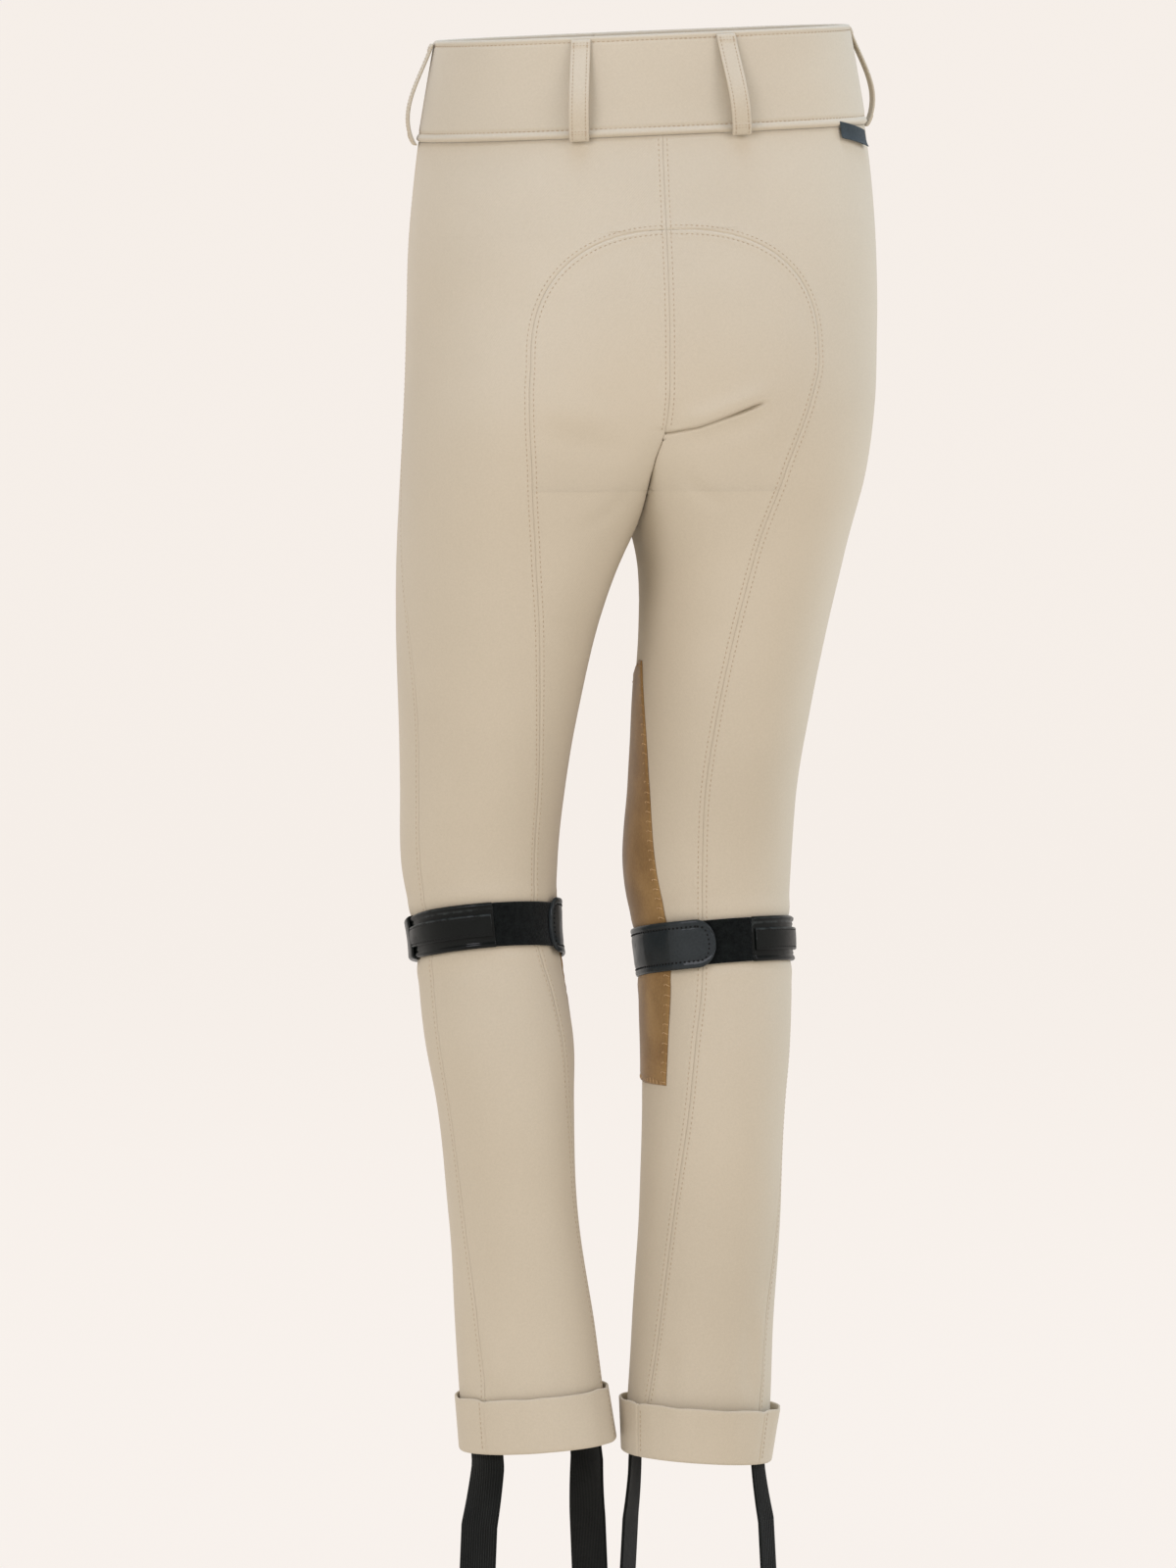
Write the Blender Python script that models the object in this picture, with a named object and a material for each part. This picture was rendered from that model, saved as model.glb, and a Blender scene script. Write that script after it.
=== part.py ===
"""Child's riding jodhpurs, worn: stretch cloth, suede knee patches, cuffs, garters and foot elastics.

Metres, +Z up. The front faces -Y, the wearer's left is +X, and the origin is on the waist's axis at half
the height of the waistband. Every cloth piece is a shell laid on one form: each leg is a stack of rounded
sections, and above the crotch the two stacks meet at the middle plane and make the hips. A point of the
form is named by its side (1 left, -1 right), its angle in degrees (0 at the back, 90 at the outer side, 180
at the front, 270 at the inner side) and its height in millimetres. The tables and sizes below are in
millimetres.
"""

import math
from collections import namedtuple

import bmesh
import bpy
from mathutils import Vector

MM = 0.001
SIDES = {"left": 1, "right": -1}

# Cloth and gaps
WALL = 1.2                 # stretch cloth
GAP = 0.3                  # between pieces that meet
BAND_WALL = 2.5            # waistband, folded double
BAND_PROUD = 1.0           # how far its face stands out of the panels' face
BAND_HALF_HEIGHT = 28.0
LAP_UNDER, LAP_OVER = -188.0, 192.0    # angles of the waistband's two ends, lapped at the centre front
BUTTON_RADIUS = 8.0
BUTTON_WALL = 3.5
BUTTON_CLEAR = 1.5         # its shank

# Levels of the cut
ARC_TOP = -80.0            # top of the seat seam's arc, on the centre back
ARC_BOTTOM = -150.0        # where the arc turns into the seam down the back of the leg
ARC_HALF_WIDTH = {"left": 75.2, "right": 86.4}
ARC_POWER = 2.35
CROTCH_HIGH = -195.0       # end of the centre seams
CROTCH_LOW = -225.0        # lowest point of the crotch seam
CROTCH_REACH = 0.93        # reach of the crotch seam to the back and front, in half depths
HEM = {"left": -764.0, "right": -772.0}
HEM_CLIMB = -3.0           # the outer side of the hem hangs lower
PANEL_END = 4.0            # how far above the hem the panels end, inside the cuff
HIP_TILT = 0.04            # the right hip stands higher

# Superellipse powers of the sections, at the hips and down the leg
OUTER_POWERS = (2.35, 2.1)
INNER_POWERS = (4.0, 2.15)

Depth = namedtuple("Depth", "height back front")
DEPTHS = [Depth(*row) for row in (
    (28, 80, -84), (0, 82, -85), (-28, 85, -88), (-60, 93, -91), (-90, 100, -93), (-120, 105, -93),
    (-150, 106, -91), (-180, 103, -88), (-215, 95, -84), (-261, 82, -78), (-305, 73, -72), (-349, 64, -67),
    (-393, 55, -62), (-437, 46, -57), (-470, 45, -51), (-503, 50, -46), (-536, 54, -42), (-569, 55, -39),
    (-635, 50, -37), (-701, 46, -37), (-775, 45, -38))]

# Outer and inner are the reach of a leg's section from the middle plane, towards its own side. The parting
# cuts off what crosses the middle. The seams' angles run from the back round the outer side.
Leg = namedtuple("Leg", "height outer inner side_seam seat_seam inseam patch_back patch_front")
LEGS = {
    "left": [Leg(*row) for row in (
        (28, 115, -115, 100, 30, -90, -110, -150),
        (-28, 124.5, -124.5, 100, 30, -90, -110, -150),
        (-60, 128.5, -128.5, 100, 30, -90, -110, -150),
        (-90, 131, -131, 100, 30, -90, -110, -150),
        (-120, 132, -128, 100, 30, -90, -110, -150),
        (-150, 133, -95, 100, 28.6, -90, -110, -150),
        (-180, 134, -50, 98, 21.2, -90, -110, -150),
        (-215, 135.5, -14, 92, 10.2, -90, -110, -150),
        (-261, 137.7, 12, 80, -4, -106, -112, -152),
        (-305, 138.2, 26.6, 68, -16, -120, -112, -156),
        (-349, 136.6, 36.6, 60.5, -25, -128, -110, -166),
        (-393, 135.6, 43.9, 58.5, -33, -134, -106, -178),
        (-437, 135, 47.8, 56, -35.5, -138, -97, -186),
        (-481, 127, 48.5, 59, -37, -142, -86, -190),
        (-503, 126, 44.6, 60, -43.5, -144, -92, -188),
        (-536, 122.8, 40.2, 61, -49, -146, -96, -186),
        (-569, 117, 40.2, 62, -55, -148, -98, -182),
        (-635, 109.7, 37.4, 57, -64, -150, -98, -182),
        (-701, 105.6, 27.2, 48, -70, -152, -93, -182),
        (-775, 101, 18, 46, -72, -154, -93, -182))],
    "right": [Leg(*row) for row in (
        (28, 115, -115, 100, 33, -90, -86, -128),
        (-28, 124.5, -124.5, 100, 33, -90, -86, -128),
        (-60, 128, -128, 100, 33, -90, -86, -128),
        (-90, 130, -130, 100, 33, -90, -86, -128),
        (-120, 130.5, -127, 100, 33, -90, -86, -128),
        (-150, 129.8, -96, 100, 36.3, -90, -86, -128),
        (-180, 128.8, -60, 100, 28.2, -90, -86, -128),
        (-215, 124.4, -24, 98, 13.3, -90, -86, -128),
        (-261, 113, -2.3, 96, -3.1, -104, -86, -128),
        (-305, 103.5, -1, 94, -10, -116, -86, -130),
        (-349, 94.8, -3.6, 92, -13.5, -120, -70, -142),
        (-393, 87.7, -5.6, 88, -15.5, -122, -58, -154),
        (-437, 84.6, -8.5, 84, -12.5, -124, -46, -162),
        (-481, 82.5, -4, 82, -15, -126, -41, -166),
        (-503, 83.6, -1.8, 80, -18.5, -128, -43, -164),
        (-536, 82.3, -0.2, 78, -25, -130, -48, -162),
        (-569, 79.3, -0.4, 74, -28.5, -134, -50, -160),
        (-635, 77.1, -2, 63, -39, -140, -50, -160),
        (-701, 73.4, -6, 51, -46, -144, -50, -160),
        (-775, 71, -10, 46, -60, -148, -50, -160))]}

# The plane between the thighs leans towards the wearer's left below the centre seams.
Parting = namedtuple("Parting", "height offset")
PARTINGS = [Parting(*row) for row in (
    (28, 0), (-195, 0), (-215, 1), (-235, 4), (-255, 7), (-275, 7), (-775, 7))]
FOLDS_FREE = -330.0        # below this the panels' columns are evenly spread
LEGS_APART = -261.0        # below this the thighs are clear of each other, and nothing is cut off
LIMIT_FREED = 60.0         # how far the cut moves away below that
PARTING_CORNER = 2.0       # how softly a thigh turns into the flat where it meets the other

# Heights at which the panels have their rows of corners, below the arc and below the crotch
HIP_ROWS = (-150, -172, CROTCH_HIGH)
CROTCH_TURNS = (67.5, 45, 22.5)
LEG_ROWS = (CROTCH_LOW, -243, -261, -283, -305, -330, -358, -388, -415, -437, -459, -481, -506, -536, -569,
            -602, -635, -668, -701, -735)
ARC_TURNS = (0, 15, 30, 45, 60, 75)
TORSO_ROWS = (-48, -66, ARC_TOP, -95, -122)

# Each panel's columns, those before its fold, and the angle at which the fold is held over the hips
FRONT_COLUMNS, FRONT_FIXED, FRONT_FOLD = 7, 4, 148
BACK_COLUMNS, BACK_FIXED, BACK_FOLD = 5, 3, 62
SEAT_COLUMNS, SEAT_FIXED = 6, 2

# Belt loops: angle at the top and at the bottom, positive on the wearer's left
LOOPS = {"belt_loop_back_left": (22, 21), "belt_loop_back_right": (-17.5, -20),
         "belt_loop_side_left": (94, 93), "belt_loop_side_right": (-94, -93),
         "belt_loop_front_left": (152, 152), "belt_loop_front_right": (-152, -152)}
LOOP_WIDTH = 11.0
LOOP_WALL = 1.5
LOOP_BOW = 7.2
LOOP_BELOW_TOP = 1.5       # its upper end, below the waistband's top
LOOP_PAST_BAND = 1.8       # its lower end, below the waistband

FLY_BOTTOM = -152.0
FLY_WIDTH = 34.0
FLY_LAP = 6.0              # past the centre front
FLY_STRAIGHT = 0.6         # share of its height above the curve

LABEL_START, LABEL_END = -52.0, -66.0
LABEL_TOP = -24.0
LABEL_HEIGHT = 12.0
LABEL_WALL = 0.8

CUFF_HEIGHT = 31.0
CUFF_WALL = 1.5
CUFF_FLARE = 3.2
PATCH_WALL = 1.2
PATCH_CLEAR = 0.6          # between the cloth and the patch
PATCH_TOP, PATCH_BOTTOM = -323.0, -559.5
PATCH_ROWS = (PATCH_TOP, -330, -343, -358, -388, -415, -437, -459, -481, -506, -536, PATCH_BOTTOM)
PATCH_POINT = 42.0         # height of the patch's pointed top
PATCH_TIP = 0.12           # width of the point, as a share of the patch's width

# Garters: the level of the middle line, how far it climbs to the back and to the outer side, the angles where
# its parts begin, and half the width of its tab
Garter = namedtuple("Garter", "level climb_back climb_out tab_end pile_end band_end keeper tab_half")
GARTERS = {"left": Garter(-476.5, 9, -2.5, -47, 0, 208, 100, 15.3),
           "right": Garter(-484.5, 6.5, 3.2, -5, 21.5, 214, 128, 13.4)}
GARTER_HALF = 12.5
GARTER_CLEAR = 0.9         # between the cloth and the garter
GARTER_OVER_PATCH = 2.0    # how much further out it lies over the knee patch
TAB_TIP = 0.35             # width of the tab's rounded tip, as a share of its width
TAB_ROUNDED = 0.16         # share of the tab's length over which its tip is rounded
STRAP_HALF = 6.2
STRAP_WALL = 1.5
STRAP_AFTER_PILE, STRAP_BEFORE_KEEPER = 2, 12      # degrees
KEEPER_BEFORE, KEEPER_AFTER = 9, 7                 # degrees on either side of the keeper's angle
KEEPER_HALF = 13.6
PILE_WALL = 1.6
LEATHER_WALL = 2.0

# Foot elastics: angle of the outer strand, and how deep the loop reaches under the foot
FOOT_STRAP_TURN = {"left": 57, "right": 68}
FOOT_STRAP_WIDTH = 30.0
FOOT_STRAP_WALL = 1.6
FOOT_STRAP_CLEAR = 1.3     # inside the leg's cloth
FOOT_STRAP_TOP = -748.0
FOOT_STRAP_BOTTOM = -862.0
FOOT_STRAP_CORNER = 16.0
FOOT_STRAP_SPLAY = 4.0       # how far each strand leans out at the bottom

# Name: colour, roughness
MATERIALS = {
    "stretch_cloth": ((0.62, 0.53, 0.41), 0.9), "suede": ((0.22, 0.13, 0.06), 0.95),
    "leather": ((0.02, 0.02, 0.02), 0.5), "pile": ((0.012, 0.014, 0.012), 1.0),
    "elastic": ((0.025, 0.027, 0.025), 0.8), "woven_label": ((0.03, 0.035, 0.045), 0.8),
    "button_plastic": ((0.45, 0.36, 0.25), 0.4)}


def clear_scene():
    """Remove every object, so that the script starts from nothing."""
    for item in list(bpy.data.objects):
        bpy.data.objects.remove(item, do_unlink=True)


def make_material(name):
    """Principled material of one of the finishes above."""
    colour, roughness = MATERIALS[name]
    material = bpy.data.materials.new(name)
    material.use_nodes = True
    shader = material.node_tree.nodes["Principled BSDF"]
    shader.inputs["Base Color"].default_value = (*colour, 1)
    shader.inputs["Roughness"].default_value = roughness
    return material


# ---------------------------------------------------------------- the form

def word_of(side):
    """Name of a side."""
    return "left" if side > 0 else "right"


def along(rows, column, height):
    """Value of a table's column at a height, on a smooth curve through the rows."""
    height = min(max(height, rows[-1].height), rows[0].height)
    last = len(rows) - 1
    upper = next(i for i in range(last) if height >= rows[i + 1].height)

    def value(i):
        return getattr(rows[i], column)

    def step(i):
        return rows[i].height - rows[i + 1].height

    def slope(i):
        """Slope at a row, from the straight runs on its two sides."""
        if i == 0 or i == last:
            j = min(i, last - 1)
            return (value(j) - value(j + 1)) / step(j)
        before, after = step(i - 1), step(i)
        return ((value(i - 1) - value(i)) / before * after
                + (value(i) - value(i + 1)) / after * before) / (before + after)

    run = step(upper)
    t = (rows[upper].height - height) / run
    return ((2 * t ** 3 - 3 * t ** 2 + 1) * value(upper) - (t ** 3 - 2 * t ** 2 + t) * run * slope(upper)
            + (3 * t ** 2 - 2 * t ** 3) * value(upper + 1) - (t ** 3 - t ** 2) * run * slope(upper + 1))


def ramp(value, start, end):
    """0 at start, 1 at end, straight between."""
    return min(max((value - start) / (end - start), 0), 1)


def blend(pair, share):
    """Value between the two of a pair."""
    return pair[0] + (pair[1] - pair[0]) * share


Section = namedtuple("Section", "centre_x centre_y half_width half_depth outer_power inner_power "
                                "limit corner")


def section(side, height):
    """Rounded section of one side of the form at a height."""
    rows = LEGS[word_of(side)]
    outer, inner = along(rows, "outer", height), along(rows, "inner", height)
    back, front = along(DEPTHS, "back", height), along(DEPTHS, "front", height)
    outer_power = blend(OUTER_POWERS, ramp(height, -200, -330))
    inner_power = blend(INNER_POWERS, ramp(height, -150, -300))
    freed = LIMIT_FREED * ramp(height, LEGS_APART, LEGS_APART - 30)
    limit = side * along(PARTINGS, "offset", height) + GAP / 2 - freed
    return Section((outer + inner) / 2, (back + front) / 2, (outer - inner) / 2, (back - front) / 2,
                   outer_power, inner_power, limit, PARTING_CORNER * ramp(height, -180, CROTCH_HIGH - 20))


def point(side, angle, height, outward=0.0, parted=True):
    """Point of the form in millimetres, moved outward along its section's normal."""
    ring = section(side, height)
    sine, cosine = math.sin(math.radians(angle)), math.cos(math.radians(angle))
    power = ring.outer_power if sine >= 0 else ring.inner_power
    reach = (abs(sine) ** power + abs(cosine) ** power) ** (-1 / power)
    across, ahead = reach * sine, reach * cosine
    normal_x = math.copysign(abs(across) ** (power - 1), across) / ring.half_width
    normal_y = math.copysign(abs(ahead) ** (power - 1), ahead) / ring.half_depth
    x = ring.centre_x + ring.half_width * across
    y = ring.centre_y + ring.half_depth * ahead
    if parted:
        over = x - ring.limit
        bend = math.hypot(over, ring.corner)
        if height < CROTCH_HIGH and bend > 0:
            normal_y *= (1 + over / bend) / 2
        x = ring.limit + (over + bend) / 2
    length = math.hypot(normal_x, normal_y)
    x += outward * normal_x / length
    y += outward * normal_y / length
    tilt = HIP_TILT * (1 - ramp(height, ARC_BOTTOM, CROTCH_LOW))
    return Vector((side * x, y, height - side * x * tilt))


def hip_point(angle, height, outward=0.0):
    """Point of the waist or hips: the angle runs to 180 on the left and to -180 on the right."""
    return point(1 if angle >= 0 else -1, abs(angle), height, outward, parted=False)


def angle_across(ring, x):
    """Angle, from the back, at which a section is at x from the middle plane."""
    share = (x - ring.centre_x) / ring.half_width
    if abs(share) < 1e-6:
        return 0.0
    power = ring.outer_power if share > 0 else ring.inner_power
    cotangent = max(abs(share) ** -power - 1, 0) ** (1 / power)
    return math.copysign(math.degrees(math.atan2(1, cotangent)), share)


def angle_inside(ring, y):
    """Angle, from the back round the inner side, at which a section is at depth y."""
    share = (y - ring.centre_y) / ring.half_depth
    power = ring.inner_power
    tangent = max(max(abs(share), 1e-6) ** -power - 1, 0) ** (1 / power)
    turn = math.degrees(math.atan(tangent))
    return -turn if share > 0 else turn - 180


# ---------------------------------------------------------------- seams, as angles at a height

def side_seam(side, height):
    """Outer seam."""
    return along(LEGS[word_of(side)], "side_seam", height)


def inseam(side, height):
    """Inner seam, from the crotch point down."""
    return along(LEGS[word_of(side)], "inseam", min(height, CROTCH_LOW))


def seat_seam(side, height):
    """Seam down the back of the leg, below the arc."""
    straight = angle_across(section(side, height), ARC_HALF_WIDTH[word_of(side)])
    below = along(LEGS[word_of(side)], "seat_seam", height)
    return blend((straight, below), ramp(height, ARC_BOTTOM, ARC_BOTTOM - 15))


def crotch_reach(ring, height):
    """How far the crotch seam is behind or before the middle of a section."""
    share = (height - CROTCH_LOW) / (CROTCH_HIGH - CROTCH_LOW)
    return ring.half_depth * CROTCH_REACH * math.sqrt(1 - (1 - share) ** 2)


def centre_back(side, height):
    """Centre back seam, then the back half of the crotch seam, then the inseam."""
    ring = section(side, height)
    if height >= CROTCH_HIGH:
        return angle_across(ring, ring.limit)
    if height > CROTCH_LOW:
        return angle_inside(ring, ring.centre_y + crotch_reach(ring, height))
    return inseam(side, height)


def centre_front(side, height):
    """Centre front seam, then the front half of the crotch seam, then the inseam."""
    ring = section(side, height)
    if height >= CROTCH_HIGH:
        return 180 - angle_across(ring, ring.limit)
    if height > CROTCH_LOW:
        return 360 + angle_inside(ring, ring.centre_y - crotch_reach(ring, height))
    return 360 + inseam(side, height)


def arc_point(side, turn, shift):
    """Height and angle on the seat seam's arc, with the arc grown by a shift."""
    turn = math.radians(turn)
    height = ARC_BOTTOM + (ARC_TOP - ARC_BOTTOM + shift) * math.cos(turn) ** (2 / ARC_POWER)
    x = (ARC_HALF_WIDTH[word_of(side)] + shift) * math.sin(turn) ** (2 / ARC_POWER)
    ring = section(side, height)
    return height, angle_across(ring, max(x, ring.limit))


def crotch_heights():
    """Rows between the end of the centre seams and the lowest point of the crotch."""
    return [blend((CROTCH_LOW, CROTCH_HIGH), 1 - math.cos(math.radians(turn))) for turn in CROTCH_TURNS]


def gap_angle(side, height):
    """Half the gap at a seam, as an angle."""
    return math.degrees(GAP / 2 / section(side, height).half_width)


# ---------------------------------------------------------------- making shells

def shell(name, material, rows, columns, place, closed=False, wall=WALL):
    """Closed wall between place(u, v, 0) and place(u, v, wall), from a grid of rows and columns.

    u runs from 0 to 1 over the columns and v over the rows. A closed shell joins its first and last column.
    """
    mesh_work = bmesh.new()
    bmesh.ops.create_grid(mesh_work, x_segments=columns, y_segments=rows, size=0.5)
    chart = mesh_work.verts.layers.float_vector.new("chart")
    for vertex in mesh_work.verts:
        vertex[chart] = (vertex.co.x + 0.5, 0.5 - vertex.co.y, 0)
        vertex.co = Vector(place(vertex[chart][0], vertex[chart][1], 0)) * MM
    bmesh.ops.remove_doubles(mesh_work, verts=mesh_work.verts, dist=0.02 * MM)
    bmesh.ops.dissolve_degenerate(mesh_work, dist=0.001 * MM, edges=mesh_work.edges)
    outer = mesh_work.faces[:]
    copied = bmesh.ops.extrude_face_region(mesh_work, geom=outer, use_keep_orig=True)["geom"]
    for vertex in (item for item in copied if isinstance(item, bmesh.types.BMVert)):
        u, v, _ = vertex[chart]
        vertex.co = Vector(place(0 if closed and u > 0.9999 else u, v, wall)) * MM
    mesh_work.verts.layers.float_vector.remove(chart)
    bmesh.ops.recalc_face_normals(mesh_work, faces=mesh_work.faces)
    mesh = bpy.data.meshes.new(name)
    mesh_work.to_mesh(mesh)
    mesh_work.free()
    mesh.shade_smooth()
    return add_object(name, mesh, material)


def add_object(name, mesh, material):
    """Object of a mesh, with its material, in the garment's collection."""
    mesh.materials.append(material)
    item = bpy.data.objects.new(name, mesh)
    garment.objects.link(item)
    return item


def panel(name, side, rows, cloth, columns, fixed):
    """Cut panel on the form, from rows of a height with the angles of its first edge, fold and second edge.

    The fold is a column inside the panel, after a fixed number of columns. It keeps its place where an edge
    swings away, so that the facets on its first side stay in line.
    """
    def place(u, v, depth):
        height, start, fold, end = rows[round(v * (len(rows) - 1))]
        column = u * columns
        if column <= fixed:
            return point(side, start + (fold - start) * column / fixed, height, -depth)
        return point(side, fold + (end - fold) * (column - fixed) / (columns - fixed), height, -depth)

    return shell(name, cloth, len(rows) - 1, columns, place)


def fold_angle(start, end, share, held, height, hold, release):
    """Angle of a panel's fold: held down to one height, and an even share of the width from another."""
    free = ramp(height, hold, release)
    return held * (1 - free) + (start + (end - start) * share) * free


# ---------------------------------------------------------------- the pieces

def build_panels(cloth):
    """Front, back and seat panel of each side."""
    top = -BAND_HALF_HEIGHT - GAP
    for word, side in SIDES.items():
        lower = [*HIP_ROWS, *crotch_heights(), *LEG_ROWS, HEM[word] + PANEL_END]
        front, back, seat = [], [], []
        for height in [top, *TORSO_ROWS, *lower]:
            slack = gap_angle(side, height)
            start, end = side_seam(side, height) + slack, centre_front(side, height)
            end -= slack if height <= CROTCH_LOW else 0
            share = FRONT_FIXED / FRONT_COLUMNS
            fold = fold_angle(start, end, share, FRONT_FOLD, height, CROTCH_LOW, FOLDS_FREE)
            front.append((height, start, fold, end))

        outline = [(height, centre_back(side, height)) for height in (top, *TORSO_ROWS[:2])]
        outline += [arc_point(side, turn, GAP / 2) for turn in ARC_TURNS]
        outline += [(height, seat_seam(side, height) + gap_angle(side, height)) for height in lower]
        for height, end in outline:
            start = side_seam(side, height) - gap_angle(side, height)
            share = BACK_FIXED / BACK_COLUMNS
            fold = fold_angle(start, end, share, BACK_FOLD, height, ARC_BOTTOM, CROTCH_HIGH)
            back.append((height, start, fold, end))

        outline = [arc_point(side, turn, -GAP / 2) for turn in ARC_TURNS]
        outline += [(height, seat_seam(side, height) - gap_angle(side, height)) for height in lower]
        for height, start in outline:
            end = centre_back(side, height) + (gap_angle(side, height) if height <= CROTCH_LOW else 0)
            held = (start + max(end, 0)) / 2
            share = SEAT_FIXED / SEAT_COLUMNS
            fold = fold_angle(start, end, share, held, height, CROTCH_LOW, FOLDS_FREE)
            seat.append((height, start, fold, end))

        panel(f"front_{word}", side, front, cloth, FRONT_COLUMNS, FRONT_FIXED)
        panel(f"back_{word}", side, back, cloth, BACK_COLUMNS, BACK_FIXED)
        panel(f"seat_{word}", side, seat, cloth, SEAT_COLUMNS, SEAT_FIXED)


def build_waistband(cloth, plastic):
    """Waistband in one strip, whose left end laps over its right end at the centre front, and its button."""
    lift = BAND_WALL + GAP

    def place(u, v, depth):
        angle = LAP_UNDER + (LAP_OVER - LAP_UNDER) * u
        rise = lift * ramp(angle, LAP_UNDER + 350, LAP_UNDER + 359)
        height = BAND_HALF_HEIGHT * (1 - 2 * v)
        return hip_point((angle + 180) % 360 - 180, height, BAND_PROUD + rise - depth)

    shell("waistband", cloth, 2, 46, place, wall=BAND_WALL)
    face = hip_point(180, 0, BAND_PROUD + lift + BUTTON_CLEAR)
    bpy.ops.mesh.primitive_cylinder_add(vertices=24, radius=BUTTON_RADIUS * MM, depth=BUTTON_WALL * MM,
                                        location=(face + Vector((0, -BUTTON_WALL / 2, 0))) * MM,
                                        rotation=(math.pi / 2, 0, 0))
    button = bpy.context.object
    button.name = button.data.name = "waist_button"
    for holder in list(button.users_collection):
        holder.objects.unlink(button)
    garment.objects.link(button)
    button.data.materials.append(plastic)


def build_loops(cloth):
    """Six belt loops, sewn at the top and below the waistband, bowed out most in their lower half."""
    top, bottom = BAND_HALF_HEIGHT - LOOP_BELOW_TOP, -BAND_HALF_HEIGHT - LOOP_PAST_BAND
    for name, (top_angle, bottom_angle) in LOOPS.items():
        def place(u, v, depth, start=top_angle, end=bottom_angle):
            angle = start + (end - start) * v
            height = top + (bottom - top) * v
            bow = LOOP_BOW * math.sin(math.pi * v ** 1.5) ** 0.8 if 0 < v < 1 else 0
            middle = hip_point(angle, height, BAND_PROUD + GAP + LOOP_WALL + bow - depth)
            tangent = (hip_point(angle + 1, height) - hip_point(angle - 1, height)).normalized()
            return middle + tangent * LOOP_WIDTH * (u - 0.5)

        shell(name, cloth, 10, 1, place, wall=LOOP_WALL)


def build_fly(cloth):
    """Fly facing, lapped left over right, curved to a point at its lower end."""
    top = -BAND_HALF_HEIGHT - GAP

    def place(u, v, depth):
        height = top + (FLY_BOTTOM - top) * v
        reach = FLY_WIDTH * math.sqrt(max(1 - ramp(v, FLY_STRAIGHT, 1) ** 2, 0.0)) + 0.5
        x = -FLY_LAP + reach * u
        ring = section(1, height)
        angle = 180 - angle_across(ring, abs(x))
        return hip_point(angle if x >= 0 else -angle, height, GAP + WALL - depth)

    shell("fly", cloth, 8, 4, place)


def build_patches(suede):
    """Knee patches over the inner side of each knee, pointed at the top."""
    for word, side in SIDES.items():
        def place(u, v, depth, side=side, rows=LEGS[word]):
            height = PATCH_ROWS[round(v * (len(PATCH_ROWS) - 1))]
            start, end = along(rows, "patch_back", height), along(rows, "patch_front", height)
            widening = ramp(height, PATCH_TOP, PATCH_TOP - PATCH_POINT)
            spread = (end - start) * blend((PATCH_TIP, 1), math.sin(widening * math.pi / 2))
            return point(side, start + spread * u, height, PATCH_CLEAR + PATCH_WALL - depth)

        shell(f"knee_patch_{word}", suede, len(PATCH_ROWS) - 1, 12, place, wall=PATCH_WALL)


def build_cuffs(cloth):
    """Hem of each leg turned up on the outside, standing off a little at its top edge."""
    for word, side in SIDES.items():
        def place(u, v, depth, side=side, hem=HEM[word]):
            height = hem + CUFF_HEIGHT * (1 - v) + HEM_CLIMB * math.sin(math.tau * u)
            return point(side, 360 * u, height, GAP + CUFF_WALL + CUFF_FLARE * (1 - v) - depth)

        shell(f"cuff_{word}", cloth, 3, 28, place, closed=True, wall=CUFF_WALL)


def garter_height(garter, angle, offset):
    """Height of a line on a garter, which lies a little askew on the leg."""
    turn = math.radians(angle)
    return garter.level + garter.climb_back * math.cos(turn) + garter.climb_out * math.sin(turn) + offset


def garter_clearance(side, angle):
    """How far a garter's inner face is from the form, with the knee patch under it on the inner side."""
    rows = LEGS[word_of(side)]
    level = GARTERS[word_of(side)].level
    turn = (angle % 360) - 360
    past = max(turn - along(rows, "patch_back", level), along(rows, "patch_front", level) - turn)
    return GARTER_CLEAR + GARTER_OVER_PATCH * (1 - ramp(past, 3, 16))


def build_garters(leather, pile):
    """Leather garter below each knee: band, raised strap, keeper, pile patch and closing tab."""
    for word, side in SIDES.items():
        garter = GARTERS[word]

        def wrap(name, material, start, end, half, over, wall, columns, rounded=0.0):
            """Strip along the garter from one angle to another."""
            def place(u, v, depth):
                angle = start + (end - start) * u
                narrow = math.sqrt(max(1 - (1 - ramp(u, 0, rounded)) ** 2, 0.0)) if rounded else 1
                offset = half * blend((TAB_TIP, 1), narrow) * (1 - 2 * v)
                outward = garter_clearance(side, angle) + over + wall - depth
                return point(side, angle, garter_height(garter, angle, offset), outward)

            shell(f"{name}_{word}", material, 2, columns, place, wall=wall)

        wrap("garter_pile", pile, garter.tab_end + 0.4, garter.pile_end - 0.4, GARTER_HALF - 0.5, 0,
             PILE_WALL, 6)
        wrap("garter_band", leather, garter.pile_end, garter.band_end, GARTER_HALF, 0, LEATHER_WALL, 28)
        wrap("garter_tab", leather, garter.tab_end, garter.band_end - 359.6, garter.tab_half, 0, LEATHER_WALL,
             14, rounded=TAB_ROUNDED)
        over = LEATHER_WALL + GAP
        wrap("garter_strap", leather, garter.pile_end + STRAP_AFTER_PILE, garter.keeper - STRAP_BEFORE_KEEPER,
             STRAP_HALF, over, STRAP_WALL, 12)
        wrap("garter_keeper", leather, garter.keeper - KEEPER_BEFORE, garter.keeper + KEEPER_AFTER,
             KEEPER_HALF, over, LEATHER_WALL, 4)


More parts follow.
